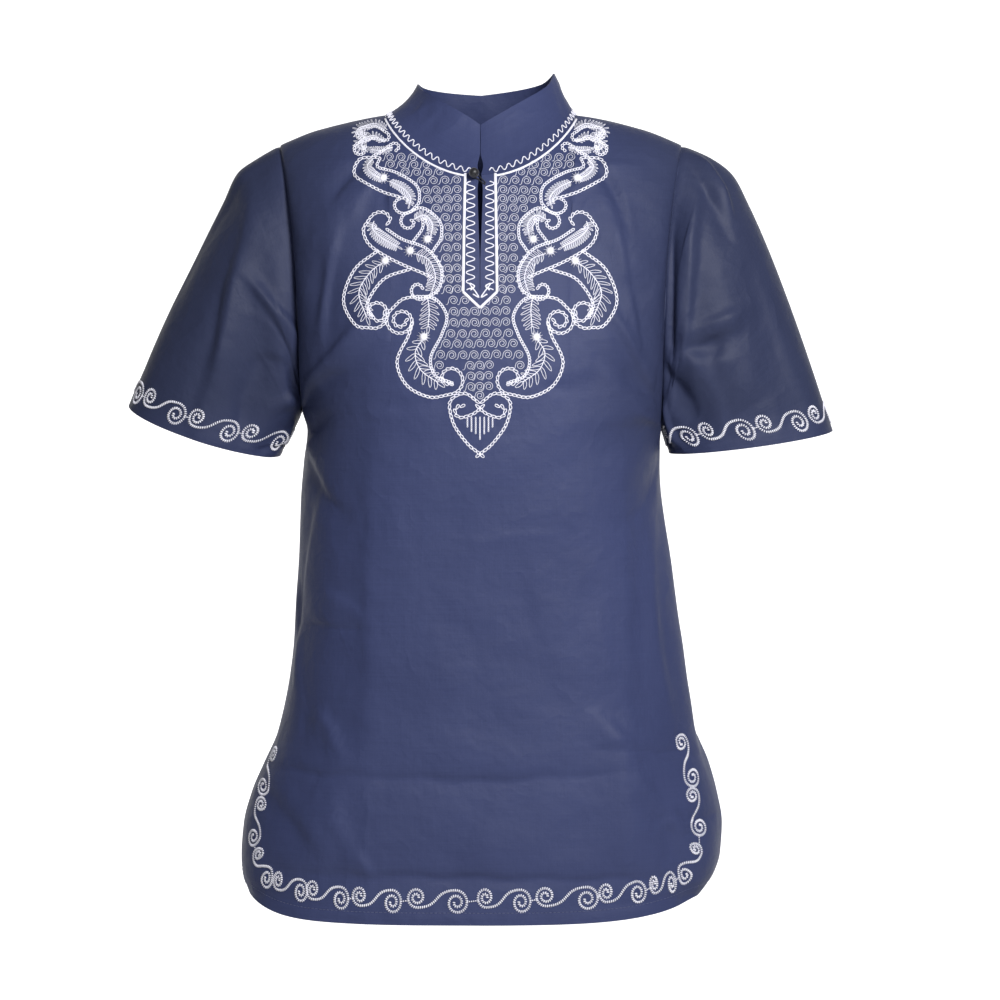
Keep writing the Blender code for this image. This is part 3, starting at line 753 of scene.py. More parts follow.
def make_panel(name, face):
    """The front is cut open in the middle, and its two edges are joined below the slit."""
    points = panel_points[face]
    cloth = np.stack([panel_cloth[face], points[..., 2]], -1)
    middle = points.shape[1] // 2
    if face == "front":
        slit = smooth(SLIT_ROWS, 1, points[:, middle, 2])
        slit = np.where(points[:, middle, 2] > SLIT_ROWS[0][0], slit, 0.0)
        points = np.insert(points, middle, points[:, middle], axis=1)
        cloth = np.insert(cloth, middle, cloth[:, middle], axis=1)
        points[:, middle, 0] = -slit
        points[:, middle + 1, 0] = slit
    index = np.arange(points[..., 0].size).reshape(points.shape[:2])
    faces = cut_faces(index, middle) if face == "front" else grid_faces(index, True)
    return add_cloth(name, points, cloth, faces, CLOTH_WALL, cotton)


front = make_panel("shirt_front", "front")
back = make_panel("shirt_back", "back")

# %% [markdown]
# ## Sleeves
# A sleeve is a bent tube. Each section has an outer point, an inner point and a depth, and
# the sections turn from the round armhole to the cuff. The folds run from the shoulder
# towards the cuff, with some short ones that fan out of the armpit.

# %% Sizes of the sleeves
SLEEVE_ROWS = {
    -1: (
        # out x, out z, in x, in z, front, back, bow
        (0.2106, -0.0470, 0.1685, -0.2840, 0.0660, 0.0640, 2.4),
        (0.2270, -0.0600, 0.1698, -0.2880, 0.0680, 0.0650, 2.0),
        (0.2396, -0.0880, 0.1718, -0.2925, 0.0680, 0.0650, 1.6),
        (0.2618, -0.1316, 0.1750, -0.2990, 0.0655, 0.0630, 1.3),
        (0.2900, -0.1880, 0.1796, -0.3075, 0.0610, 0.0590, 1.1),
        (0.3160, -0.2444, 0.1846, -0.3165, 0.0560, 0.0550, 1.0),
        (0.3294, -0.2760, 0.1882, -0.3230, 0.0540, 0.0530, 1.0),
    ),
    1: (
        (0.2165, -0.0462, 0.1700, -0.3000, 0.0660, 0.0640, 2.4),
        (0.2360, -0.0615, 0.1708, -0.3025, 0.0680, 0.0650, 2.0),
        (0.2510, -0.0893, 0.1716, -0.3050, 0.0680, 0.0650, 1.6),
        (0.2698, -0.1316, 0.1726, -0.3085, 0.0655, 0.0630, 1.3),
        (0.2914, -0.1880, 0.1738, -0.3125, 0.0610, 0.0590, 1.1),
        (0.3111, -0.2444, 0.1752, -0.3170, 0.0560, 0.0550, 1.0),
        (0.3296, -0.3005, 0.1772, -0.3215, 0.0540, 0.0530, 1.0),
    ),
}
CUFF_DROP = {-1: 0.0120, 1: 0.0060}
SLEEVE_FOLD_ROWS = {
    -1: (
        # part of the length from and to, angle from and to in degrees, width, height
        (0.15, 0.95, 52.0, 70.0, 16.0, 0.0045),
        (0.20, 0.90, 100.0, 112.0, 15.0, -0.0045),
        (0.25, 0.90, 262.0, 250.0, 18.0, -0.0045),
    ),
    1: (
        (0.10, 0.80, 60.0, 92.0, 16.0, 0.0055),
        (0.25, 0.90, 120.0, 128.0, 14.0, -0.0040),
        (0.25, 0.95, 285.0, 268.0, 18.0, -0.0045),
    ),
}
# Smaller creases of a sleeve, in degrees round it and parts of its length.
SLEEVE_CREASE_ROWS = {
    -1: (
        # angle0, part0, angle1, part1, half width, height, kind
        (45.0, 0.20, 94.0, 1.02, 0.015, 0.0062, SOFT),
        (60.0, 0.30, 76.0, 0.66, 0.007, 0.0024, SOFT),
        (124.0, 0.02, 58.0, 0.30, 0.010, 0.0052, SOFT),
        (136.0, 0.02, 70.0, 0.36, 0.008, -0.0048, SOFT),
        (146.0, 0.03, 84.0, 0.44, 0.009, 0.0048, SOFT),
        (155.0, 0.04, 106.0, 0.48, 0.008, -0.0044, SOFT),
        (166.0, 0.05, 126.0, 0.56, 0.009, 0.0038, SOFT),
        (160.0, 0.35, 150.0, 1.00, 0.012, 0.0034, SOFT),
        (112.0, 0.45, 122.0, 1.02, 0.014, -0.0036, SOFT),
        (170.0, 0.70, 140.0, 0.96, 0.006, -0.0026, SOFT),
        (30.0, 0.04, 20.0, 0.60, 0.014, -0.0026, SOFT),
        (14.0, 0.10, 8.0, 0.80, 0.016, 0.0016, SOFT),
        (196.0, 0.04, 232.0, 0.55, 0.010, 0.0042, SOFT),
        (206.0, 0.04, 246.0, 0.50, 0.009, -0.0040, SOFT),
        (236.0, 0.10, 258.0, 1.00, 0.014, 0.0044, SOFT),
        (286.0, 0.05, 276.0, 0.95, 0.015, 0.0038, SOFT),
        (316.0, 0.06, 328.0, 0.90, 0.014, -0.0024, SOFT),
    ),
    1: (
        (38.0, 0.12, 104.0, 0.23, 0.010, 0.0060, SOFT),
        (50.0, 0.05, 114.0, 0.13, 0.008, -0.0050, SOFT),
        (102.0, 0.22, 56.0, 0.47, 0.008, 0.0036, SOFT),
        (104.0, 0.26, 70.0, 0.52, 0.007, -0.0034, SOFT),
        (106.0, 0.24, 88.0, 0.58, 0.008, 0.0036, SOFT),
        (110.0, 0.22, 114.0, 0.84, 0.011, 0.0046, SOFT),
        (122.0, 0.06, 130.0, 0.62, 0.010, -0.0056, SOFT),
        (148.0, 0.04, 140.0, 0.92, 0.010, 0.0040, SOFT),
        (160.0, 0.04, 156.0, 0.80, 0.008, -0.0034, SOFT),
        (16.0, 0.02, 38.0, 0.24, 0.007, 0.0042, SOFT),
        (28.0, 0.02, 50.0, 0.26, 0.007, -0.0034, SOFT),
        (84.0, 0.50, 78.0, 1.02, 0.018, 0.0030, SOFT),
        (44.0, 0.40, 50.0, 1.00, 0.018, -0.0026, SOFT),
        (196.0, 0.04, 226.0, 0.60, 0.010, 0.0042, SOFT),
        (208.0, 0.04, 240.0, 0.55, 0.009, -0.0040, SOFT),
        (240.0, 0.10, 262.0, 1.00, 0.014, 0.0044, SOFT),
        (292.0, 0.05, 282.0, 0.95, 0.015, 0.0036, SOFT),
        (326.0, 0.06, 334.0, 0.90, 0.014, -0.0024, SOFT),
    ),
}
SLEEVE_CREASE_SIZE = 1.4
SLEEVE_AROUND = 210
SLEEVE_RINGS = 110


# %% The rule of the sleeves
def sleeve_table(side):
    """The sections of a sleeve, each with its distance from the armhole."""
    low_x = float(half_width(np.array(side), ARMPIT_Z[side]))
    first = (SHOULDER_HALF, SHOULDER_ROWS[-1][1], low_x, ARMPIT_Z[side])
    first += (ARMHOLE_DEPTH["front"], ARMHOLE_DEPTH["back"], ARMHOLE_BOW)
    rows = np.array([first, *SLEEVE_ROWS[side]])
    steps = np.hypot(*np.diff(rows[:, :2], axis=0).T)
    return np.column_stack([np.concatenate([[0.0], np.cumsum(steps)]), rows])


def sleeve_surface(side, part, angle):
    """Points at a part of the length, from armhole to cuff, and an angle round the arm."""
    table = sleeve_table(side)
    at = table[-1, 0] * part
    columns = [smooth(table, k, at) for k in range(1, 8)]
    out_x, out_z, in_x, in_z, front_deep, back_deep, bow = columns
    up = (1 + np.cos(angle)) / 2
    turn = np.sin(angle)
    size = np.abs(turn) ** RING_ROUND
    x = in_x + (out_x - in_x) * up**bow
    z = in_z + (out_z - in_z) * up
    lift = np.zeros_like(part)
    for p0, p1, a0, a1, width, height in SLEEVE_FOLD_ROWS[side]:
        t = np.clip((part - p0) / (p1 - p0), 0.0, 1.0)
        away = (np.degrees(angle) - a0 - (a1 - a0) * t) / width
        lift += height * np.sin(math.pi * t) ** 0.7 * np.exp(-away * away)
    y = -np.sign(turn) * (np.where(turn > 0, front_deep, back_deep) + lift) * size
    drop = CUFF_DROP[side] * size * part**3
    long = np.hypot(out_x - in_x, out_z - in_z)
    x += (out_z - in_z) / long * drop + SEAM_GAP * (1 - part) ** 4
    x -= SEAM_TUCK * np.exp(-((at / SEAM_WIDTH) ** 2))
    z -= (out_x - in_x) / long * drop
    return np.stack([side * x, y, z], -1)


# %% Sewing the sleeves
sleeve_grids = {}


def sleeve_grid(side):
    """The points of a sleeve, the distances round it, and those down it from the armhole."""
    angles = np.linspace(0, 2 * math.pi, SLEEVE_AROUND + 1)
    angle, part = np.meshgrid(angles, 1 - gathered(SLEEVE_RINGS, 1.35)[::-1])
    points = sleeve_surface(side, part, angle)
    cloth = arc_lengths(points, 0)
    length = np.linalg.norm(np.diff(points, axis=0), axis=2).mean(1)
    down = np.concatenate([[0.0], np.cumsum(length)])[:, None] + 0 * part
    normals = grid_normals(points, side < 0)
    around = cloth[:, -1:].mean()
    rows = [
        (a0 / 360 * around, p0 * down.max(), a1 / 360 * around, p1 * down.max(), w, h, k)
        for a0, p0, a1, p1, w, h, k in SLEEVE_CREASE_ROWS[side]
    ]
    level = np.degrees(angle) / 360 * around
    calm = SLEEVE_CREASE_SIZE * np.clip(part * 10, 0.0, 1.0) * (1 - 0.5 * part)
    lift = crease_height(rows, level, down) * calm
    band = HEM_STEP * np.clip((HEM_FOLD - (down.max() - down)) / HEM_SLOPE, 0.0, 1.0)
    dip = SEAM_UNDER * np.exp(-((down / SEAM_WIDTH) ** 2))
    points = points + normals * (lift + band - dip)[..., None]
    points[:, -1] = points[:, 0]
    return points, cloth, down


def make_sleeve(name, side):
    points, cloth, down = sleeve_grid(side)
    sleeve_grids[side] = points
    uv = np.stack([cloth, -down], -1)
    index = np.arange(points[..., 0].size).reshape(points.shape[:2])
    faces = grid_faces(index, side < 0)
    return add_cloth(name, points, uv, faces, CLOTH_WALL, cotton)


sleeve_right = make_sleeve("sleeve_right_cloth", -1)
sleeve_left = make_sleeve("sleeve_left_cloth", 1)

# %% [markdown]
# ## Collar
# The stand collar is a band of two layers, turned at its top edge. It starts on the neck
# edge of the panels and leans in towards the neck. One sheet stands for both layers, so its
# wall is thicker than that of the others. In front it is cut open, with a narrow gap.

# %% Sizes of the collar
COLLAR_TOP_ROWS = (
    # angle from the middle of the front, z at -X, z at +X
    (0.0, -0.0210, -0.0210),
    (12.0, -0.0125, -0.0125),
    (35.0, 0.0010, 0.0030),
    (65.0, 0.0150, 0.0200),
    (92.0, 0.0245, 0.0345),
    (125.0, 0.0220, 0.0270),
    (180.0, 0.0190, 0.0190),
)
COLLAR_TOP_HALF = {-1: 0.0596, 1: 0.0690}
COLLAR_TOP_FRONT = 0.0600
COLLAR_TOP_BACK = 0.0440
COLLAR_BEND_IN = {-1: 0.74, 1: 0.60}
COLLAR_BEND_UP = 0.40
COLLAR_END_ROWS = (
    # part of the height, half gap
    (0.00, 0.0008),
    (0.22, 0.0026),
    (0.50, 0.0003),
    (1.00, 0.0004),
)
COLLAR_ROWS = 18
COLLAR_WALL = 0.0018
COLLAR_RISE = 0.05
COLLAR_CREASE_ROWS = (
    # turn0, height0, turn1, height1, half width, height, kind
    (1.68, 0.15, 1.60, 1.0, 0.05, 0.0016, LINE),
    (1.30, 0.10, 1.22, 0.95, 0.09, -0.0008, SOFT),
    (0.62, 0.25, 0.50, 0.95, 0.10, 0.0007, SOFT),
    (-0.75, 0.20, -0.68, 0.95, 0.09, -0.0008, SOFT),
    (-1.15, 0.15, -1.08, 0.90, 0.08, 0.0008, SOFT),
)


# %% The rule of the collar
def collar_surface(turn, height):
    """Points at a turn round the neck, 0 in front, and a part of the collar's height."""
    base_front = panel_surface("front", column_at(turn), np.full_like(turn, 2.0))
    base_back = panel_surface("back", column_at(turn), np.full_like(turn, 2.0))
    ahead = np.cos(turn) >= 0
    base = np.where(ahead[..., None], base_front, base_back)
    left = np.sin(turn) < 0
    degrees = np.degrees(turn) % 360
    degrees = np.minimum(degrees, 360 - degrees)
    top_left, top_right = [smooth(COLLAR_TOP_ROWS, k, degrees) for k in (1, 2)]
    top_z = np.where(left, top_left, top_right)
    reach = np.where(np.cos(turn) > 0, COLLAR_TOP_FRONT, COLLAR_TOP_BACK)
    half = np.where(left, COLLAR_TOP_HALF[-1], COLLAR_TOP_HALF[1])
    top = np.stack([half * np.sin(turn), -reach * np.cos(turn), top_z], -1)
    turned = (1 - np.sin(turn)) / 2
    inward = COLLAR_BEND_IN[1] + (COLLAR_BEND_IN[-1] - COLLAR_BEND_IN[1]) * turned
    bend = base + (top - base) * inward[..., None]
    bend[..., 2] = base[..., 2] + (top[..., 2] - base[..., 2]) * COLLAR_BEND_UP
    base = base + unit(bend - base) * SEAM_GAP
    height = height[..., None]
    low = base + (bend - base) * height
    high = bend + (top - bend) * height
    return low + (high - low) * height


# %% Sewing the collar
turns = np.linspace(-math.pi, math.pi, 4 * NECK_COLUMNS + 1)
collar_turn, collar_height = np.meshgrid(turns, np.linspace(0, 1, COLLAR_ROWS + 1))
collar_points = collar_surface(collar_turn, collar_height)
collar_lift = crease_height(COLLAR_CREASE_ROWS, collar_turn, collar_height)
collar_lift *= np.clip(collar_height * 6, 0.0, 1.0)
collar_points += grid_normals(collar_points) * collar_lift[..., None]
collar_cloth = np.stack(
    [arc_lengths(collar_points, len(turns) // 2), collar_height * COLLAR_RISE], -1
)


def make_collar(name):
    """The band, cut open in the middle of the front and closed behind."""
    middle = len(turns) // 2
    points = np.insert(collar_points, middle, collar_points[:, middle], axis=1)
    cloth = np.insert(collar_cloth, middle, collar_cloth[:, middle], axis=1)
    gap = smooth(COLLAR_END_ROWS, 1, np.linspace(0, 1, COLLAR_ROWS + 1))
    points[:, middle, 0] = -gap
    points[:, middle + 1, 0] = gap
    points[:, -1] = points[:, 0]
    index = np.arange(points[..., 0].size).reshape(points.shape[:2])
    return add_cloth(name, points, cloth, cut_faces(index, middle), COLLAR_WALL, cotton)


collar = make_collar("collar_cloth")

# %% [markdown]
# ## Ground for the stitches
# Embroidery is drawn flat and sewn on a curved body. Here the cloth is laid on an even chart
# of places in metres. The chart gives a point on the cloth and the direction away from it
# for each place, so a stitch drawn flat lands on the folds.


# %% Charts of the cloth
CHEST_HALF = 0.15
CHEST_LOW_Z = -0.36
CHEST_COLUMNS = 201
CHEST_ROWS = 241
HEM_HALF = 0.34
HEM_LOW_Z = -0.762
HEM_HIGH_Z = -0.55
HEM_COLUMNS = 273
HEM_ROWS = 107


class Ground:
    """Cloth on an even chart: points[j, i] is at low + (i, j) steps."""

    def __init__(self, low, high, points, flip=False):
        self.low = np.array(low)
        self.high = np.array(high)
        self.points = points
        self.normals = grid_normals(points, flip)

    def at(self, places):
        """Points on the cloth, and the directions away from it, at places on the chart."""
        places = np.asarray(places, float)
        count = np.array([self.points.shape[1], self.points.shape[0]]) - 1
        where = np.clip((places - self.low) / (self.high - self.low), 0, 1) * count
        first = np.minimum(where.astype(int), count - 1)
        part = where - first
        i, j = first[..., 0], first[..., 1]
        a, b = part[..., :1], part[..., 1:]
        found = []
        for grid in (self.points, self.normals):
            low = grid[j, i] * (1 - a) + grid[j, i + 1] * a
            high = grid[j + 1, i] * (1 - a) + grid[j + 1, i + 1] * a
            found.append(low * (1 - b) + high * b)
        return found[0], unit(found[1])


def level_rows(points, heights):
    """The columns of a panel's grid, cut at even heights."""
    z = points[..., 2]
    rows = np.zeros((len(heights), points.shape[1], 3))
    for i in range(points.shape[1]):
        for k in (0, 1):
            inside = np.interp(heights, z[:, i], points[:, i, k])
            slope = (points[1, i, k] - points[0, i, k]) / (z[1, i] - z[0, i])
            below = np.minimum(heights - z[0, i], 0.0)
            rows[:, i, k] = inside + slope * below
        rows[:, i, 2] = heights
    return rows


def make_front_ground():
    """The chest, charted by x and z."""
    heights = np.linspace(CHEST_LOW_Z, 0.0, CHEST_ROWS)
    xs = np.linspace(-CHEST_HALF, CHEST_HALF, CHEST_COLUMNS)
    rows = level_rows(panel_points["front"], heights)
    points = np.zeros((len(heights), len(xs), 3))
    for j in range(len(heights)):
        points[j, :, 0] = xs
        points[j, :, 1] = np.interp(xs, rows[j, :, 0], rows[j, :, 1])
        points[j, :, 2] = heights[j]
    return Ground((-CHEST_HALF, CHEST_LOW_Z), (CHEST_HALF, 0.0), points)


def make_hem_ground(face):
    """The lower part of a panel, charted by the distance across the cloth and z."""
    heights = np.linspace(HEM_LOW_Z, HEM_HIGH_Z, HEM_ROWS)
    rows = level_rows(panel_points[face], heights)
    arcs = arc_lengths(rows, rows.shape[1] // 2)
    xs = np.linspace(-HEM_HALF, HEM_HALF, HEM_COLUMNS)
    points = np.zeros((len(heights), len(xs), 3))
    for j in range(len(heights)):
        for k in range(3):
            points[j, :, k] = np.interp(xs, arcs[j], rows[j, :, k])
    low, high = (-HEM_HALF, HEM_LOW_Z), (HEM_HALF, HEM_HIGH_Z)
    return Ground(low, high, points, face == "back"), rows, arcs


chest = make_front_ground()
print("chest chart", chest.points.shape)

# %% [markdown]
# ## Stitches
# Every stitch is a thin tube of thread. A chain stitch is a closed loop that starts inside
# the loop before it. A satin stitch is a row of short bars side by side. Each has only a few
# dozen faces, because there are thousands of them, and each kind is joined into one mesh.


# %% Lines on a chart
MM = 0.001


def even(line, step):
    """Points at even steps of the length of a line."""
    line = np.asarray(line, float)
    steps = np.linalg.norm(np.diff(line, axis=0), axis=1)
    along = np.concatenate([[0.0], np.cumsum(steps)])
    count = max(2, round(along[-1] / step) + 1)
    at = np.linspace(0, along[-1], count)
    return np.stack([np.interp(at, along, line[:, k]) for k in range(line.shape[1])], -1)


def curve(points, step=MM):
    """A smooth line through a few points, with points at even steps."""
    p = np.array(points, float)
    p = np.vstack([2 * p[0] - p[1], p, 2 * p[-1] - p[-2]])
    t = np.linspace(0, 1, 12, endpoint=False)[:, None]
    parts = []
    for a, b, c, d in zip(p, p[1:], p[2:], p[3:]):
        bend = (2 * a - 5 * b + 4 * c - d) * t * t
        parts.append(0.5 * (2 * b + (c - a) * t + bend + (3 * b - a - 3 * c + d) * t**3))
    return even(np.vstack([*parts, p[-2:-1]]), step)


def headings(line):
    """The directions along a line and to its left."""
    ahead = unit(np.gradient(line, axis=0))
    beside = np.stack([-ahead[:, 1], ahead[:, 0]], -1)
    return ahead, beside


# %% Sewing with thread
class Sewing:
    """Stitches of one kind, joined into one mesh."""

    def __init__(self, ground):
        self.ground = ground
        self.points = []
        self.faces = []
        self.count = 0

    def thread(self, paths, radius, sides=5, closed=False, lift=0.6, flat=1.0):
        """Tubes of thread along paths: an array of n paths with k places each."""
        paths = np.asarray(paths, float)
        spots, out = self.ground.at(paths)
        if closed:
            ahead = unit(np.roll(spots, -1, 1) - np.roll(spots, 1, 1))
        else:
            ahead = unit(np.gradient(spots, axis=1))
        beside = unit(np.cross(ahead, out))
        out = np.cross(beside, ahead)
        size = np.broadcast_to(radius, paths.shape[:2])[..., None]
        thick = np.max(radius)
        spots = spots + out * thick * lift * flat
        turn = 2 * math.pi * np.arange(sides) / sides
        side_part = np.cos(turn)[:, None] * beside[:, :, None]
        up_part = flat * np.sin(turn)[:, None] * out[:, :, None]
        rings = spots[:, :, None] + size[..., None] * (side_part + up_part)
        index = np.arange(rings[..., 0].size).reshape(rings.shape[:3]) + self.count
        here = index if closed else index[:, :-1]
        there = np.roll(index, -1, 1) if closed else index[:, 1:]
        quads = np.stack([here, there, np.roll(there, -1, 2), np.roll(here, -1, 2)], -1)
        self.faces += quads.reshape(-1, 4).tolist()
        if not closed:
            self.faces += index[:, 0].tolist() + index[:, -1, ::-1].tolist()
        self.points.append(rings.reshape(-1, 3))
        self.count += rings[..., 0].size

    def chain(self, line, pitch, width, radius):
        """Chain stitches: each link is a drop that widens towards the next one."""
        starts = even(line, pitch)
        ahead, beside = headings(starts)
        turn = 2 * math.pi * np.arange(10) / 10
        along = (0.5 - 0.5 * np.cos(turn)) * pitch * 1.22
        across = np.sin(turn) * (0.45 + 0.55 * along / along.max()) * width / 2
        paths = starts[:, None] + ahead[:, None] * along[:, None] + beside[:, None] * across[:, None]
        self.thread(paths, radius, 4, True)

    def bars(self, line, pitch, width, radius, slant=0.2):
        """Satin stitch: bars side by side across a line."""
        centres = even(line, pitch)
        ahead, beside = headings(centres)
        reach = np.array([-1.0, -0.5, 0.5, 1.0])[:, None]
        wide = np.broadcast_to(width, len(centres))[:, None, None] / 2
        paths = centres[:, None] + (beside[:, None] + ahead[:, None] * slant) * reach * wide
        self.thread(paths, np.array([0.5, 1.0, 1.0, 0.5]) * radius, 3, False, 0.5)

    def leaves(self, roots, ahead, length, width, radius):
        """Narrow loops of thread that start at roots and point ahead."""
        ahead = unit(np.asarray(ahead, float))
        beside = np.stack([-ahead[:, 1], ahead[:, 0]], -1)
        turn = 2 * math.pi * np.arange(12) / 12
        along = (0.5 - 0.5 * np.cos(turn))[:, None] * np.reshape(length, (-1, 1, 1))
        across = (np.sin(turn) * (0.75 + 0.25 * np.cos(turn - 1)))[:, None] * width / 2
        paths = np.asarray(roots)[:, None] + ahead[:, None] * along + beside[:, None] * across
        self.thread(paths, radius, 4, True)

    def finish(self, name, material):
        """Joins the stitches into one named piece."""
        piece = add_piece(name, np.concatenate(self.points), self.faces, material)
        select_only(piece)
        bpy.ops.object.shade_smooth()
        print(name, sum(len(face) - 2 for face in self.faces), "triangles")
        return piece


# %% [markdown]
# ## The lines at the neck
# A round satin cord follows the collar seam and both sides of the slit, and meets in a
# point below it. A wavy line runs beside each. The waves are rounded, as a machine sews
# them, so they are sines. At the foot of the slit the wave ends in a loose knot.

# %% Satin cord and wavy lines
CORD_RADIUS = 0.00105
SLIT_CORD_RADIUS = 0.0013
WAVE_RADIUS = 0.00056
# Places of the cord beside the slit, in millimetres out from the middle and up.
SLIT_CORD = ((13.6, -69.0), (14.0, -90.0), (14.6, -130.0), (15.2, -178.0), (0.0, -192.5))
CORD_STEP = 0.0015
CORD_SIDES = 8
CORD_FLAT = 0.6
NECK_CORD_FROM = 0.0136
NECK_CORD_TO = 0.0885
NECK_CORD_DROP = 0.0022
WAVE_PITCH = 0.0082
WAVE_ROUND = 0.00015
WAVE_STEP = 0.0003


def wave(start, end, middle, reach):
    """A rounded wave along an axis: places along it and away from it."""
    along = np.arange(start, end, WAVE_STEP)
    turn = 2 * math.pi * (along - start) / WAVE_PITCH
    return along - WAVE_ROUND * np.sin(2 * turn), middle + reach * np.sin(turn)


cords = Sewing(chest)
neck_x = np.linspace(NECK_CORD_FROM, NECK_CORD_TO, 60)
neck_top = smooth(SHOULDER_ROWS, 1, NECK_HALF)
neck_part = (1 - (neck_x / NECK_HALF) ** 2) ** (NECK_POWER["front"] / 2)
neck_line = neck_top + (NECK_Z["front"] - neck_top) * neck_part
for side in (-1, 1):
    seam = np.stack([side * neck_x, neck_line - NECK_CORD_DROP], -1)
    cords.thread([even(seam, CORD_STEP)], CORD_RADIUS, CORD_SIDES, flat=CORD_FLAT)
    for start, end in ((0, 4), (3, 5)):
        line = np.array(SLIT_CORD[start:end]) * (MM * side, MM)
        cords.thread([even(line, CORD_STEP)], SLIT_CORD_RADIUS, CORD_SIDES, flat=CORD_FLAT)
neck_cord = cords.finish("neck_satin_cord", bright_thread)

# %% Waves beside the slit
# Where the wave starts and ends, the line that it swings about and how far it swings.
SLIT_WAVE = (0.0765, 0.1765, 0.0086, 0.0037)
KNOT = ((8.6, -176.5), (5.0, -173.0), (9.5, -170.5), (4.0, -178.0), (1.0, -183.0), (6.5, -180.0))
KNOT_STEP = 0.0008
waves = Sewing(chest)
for side in (-1, 1):
    down, out = wave(*SLIT_WAVE)
    waves.thread([np.stack([side * out, -down], -1)], WAVE_RADIUS, 5)
    knot = curve(np.array(KNOT) * (MM * side, MM), KNOT_STEP)
    waves.thread([knot], WAVE_RADIUS * 1.2, 5)
slit_waves = waves.finish("slit_waves", bright_thread)

# %% [markdown]
# ## The wave on the collar
# The same wavy line runs along the foot of the collar. It is charted on the collar itself,
# by the distance round the neck and the distance up from the seam.

# %% The wave above the seam
COLLAR_CHART = 161
COLLAR_CHART_ROWS = 13
COLLAR_CHART_UP = 0.012
COLLAR_WAVE_FROM = 0.0085
COLLAR_WAVE_SHORT = 0.004
COLLAR_WAVE_MIDDLE = 0.0046
COLLAR_WAVE_REACH = 0.0031


def make_collar_ground():
    """The front half of the collar, charted by the distance round it and up from its foot."""
    part = (len(turns) - 1) // 4
    grid = collar_points[:, part : len(turns) - part]
    arcs = arc_lengths(grid, grid.shape[1] // 2)[0]
    rise = np.linalg.norm(np.diff(grid, axis=0), axis=2).cumsum(0)
    rise = np.concatenate([np.zeros((1, grid.shape[1])), rise])
    ups = np.linspace(0, COLLAR_CHART_UP, COLLAR_CHART_ROWS)
    reach = min(-arcs[0], arcs[-1])
    xs = np.linspace(-reach, reach, COLLAR_CHART)
    chart = np.zeros((COLLAR_CHART_ROWS, COLLAR_CHART, 3))
    for k in range(3):
        columns = [np.interp(ups, rise[:, i], grid[:, i, k]) for i in range(grid.shape[1])]
        for j, row in enumerate(np.array(columns).T):
            chart[j, :, k] = np.interp(xs, arcs, row)
    return Ground((-reach, 0.0), (reach, COLLAR_CHART_UP), chart), reach


collar_ground, collar_reach = make_collar_ground()
collar_sewing = Sewing(collar_ground)
wave_end = collar_reach - COLLAR_WAVE_SHORT
for side in (-1, 1):
    along, up = wave(COLLAR_WAVE_FROM, wave_end, COLLAR_WAVE_MIDDLE, COLLAR_WAVE_REACH)
    collar_sewing.thread([np.stack([side * along, up], -1)], WAVE_RADIUS, 5)
collar_wave = collar_sewing.finish("collar_wave", bright_thread)

# %% [markdown]
# ## Scrolls on the chest
# The neck embroidery is a set of scrolls and paisley commas, the same on both sides. Each
# is a smooth line through a few listed places, in millimetres out from the
# middle and up from the neck point, so all lie below 0. The curl at its end is worked out
# from a radius and a number of turns. The outer lines are open chain stitch, and the lines
# next to the filled ground are sewn closer, so they look like a heavier cord.

# %% Curls and scrolls
CURL_SHRINK = 0.74
CURL_POINTS = 34


def curl(end, heading, radius, turns):
    """A line that goes on from an end and winds inwards; turns to the left are positive."""
    count = max(8, round(abs(turns) * CURL_POINTS))
    t = np.linspace(0, 1, count)[1:, None]
    angle = heading + 2 * math.pi * turns * (t - 0.5 / count)
    step = 2 * math.pi * abs(turns) / (count - 1) * radius * (1 - CURL_SHRINK * t)
    return end + np.cumsum(step * np.hstack([np.cos(angle), np.sin(angle)]), 0)


def scroll(row):
    """The line of a scroll in millimetres, with the curls at its ends."""
    places, first, last = row
    line = curve(places, 1.0)
    if first:
        way = line[0] - line[1]
        line = np.vstack([curl(line[0], math.atan2(way[1], way[0]), *first)[::-1], line])
    if last:
        way = line[-1] - line[-2]
        line = np.vstack([line, curl(line[-1], math.atan2(way[1], way[0]), *last)])
    return even(line, 1.0)


def mirrored(line):
    """A line in millimetres, out from the middle and up, on both sides of the chest."""
    places = np.array(line, float) * MM
    return places, places * (-1, 1)


# %% Places of the scrolls
OPEN_SCROLLS = (
    # places out and up, first curl and last curl as radius and turns
    (((91, -53), (109, -54), (114, -69), (92, -84), (70, -92)), None, None),
    (((99, -110), (105, -120), (100, -134), (80, -148), (47, -163)), (12, 0.62), None),
    (((92, -140), (113, -157), (123, -184), (113, -206), (100, -210)), None, (15, -0.9)),
    (((62, -157), (86, -166), (101, -187), (97, -199)), None, (8, -0.5)),
    (((58, -182), (69, -184.5), (79, -193)), None, (13.5, -1.6)),
    (((60, -204), (64, -217), (74, -240), (66, -261), (46, -272), (27, -270)), None, (14, -1.0)),
    (((0.3, -278), (13, -269.5), (26, -276), (24, -295), (12, -313), (0.3, -323)), None, None),
    (((-4, -279), (4, -286), (13, -290)), None, (7.5, 0.62)),
)
CLOSE_SCROLLS = (
    (((91, -53), (93, -62), (76, -68), (58, -80), (55, -94), (59, -101)), None, (13, 0.6)),
    (((66, -106), (52, -101.5), (37, -113), (35, -128), (41, -139)), (8.5, -0.95), None),
    (((52, -110), (52, -120), (60, -132)), None, None),
    (((85, -120), (70, -130), (48, -139), (35, -157), (37, -175), (48, -183)), None, (10, 0.78)),
    (((58, -182), (41, -184), (30, -199), (34, -216), (44, -237), (40, -253), (27, -259)), None, None),
    (((99, -52), (90, -47), (82, -40.5)), None, (5.5, 0.55)),
    (((86, -29), (96, -21.5), (108, -22)), (5, 0.6), (7, -0.75)),
    (((87, -37), (98, -34), (110, -37)), None, (8, -0.8)),
)
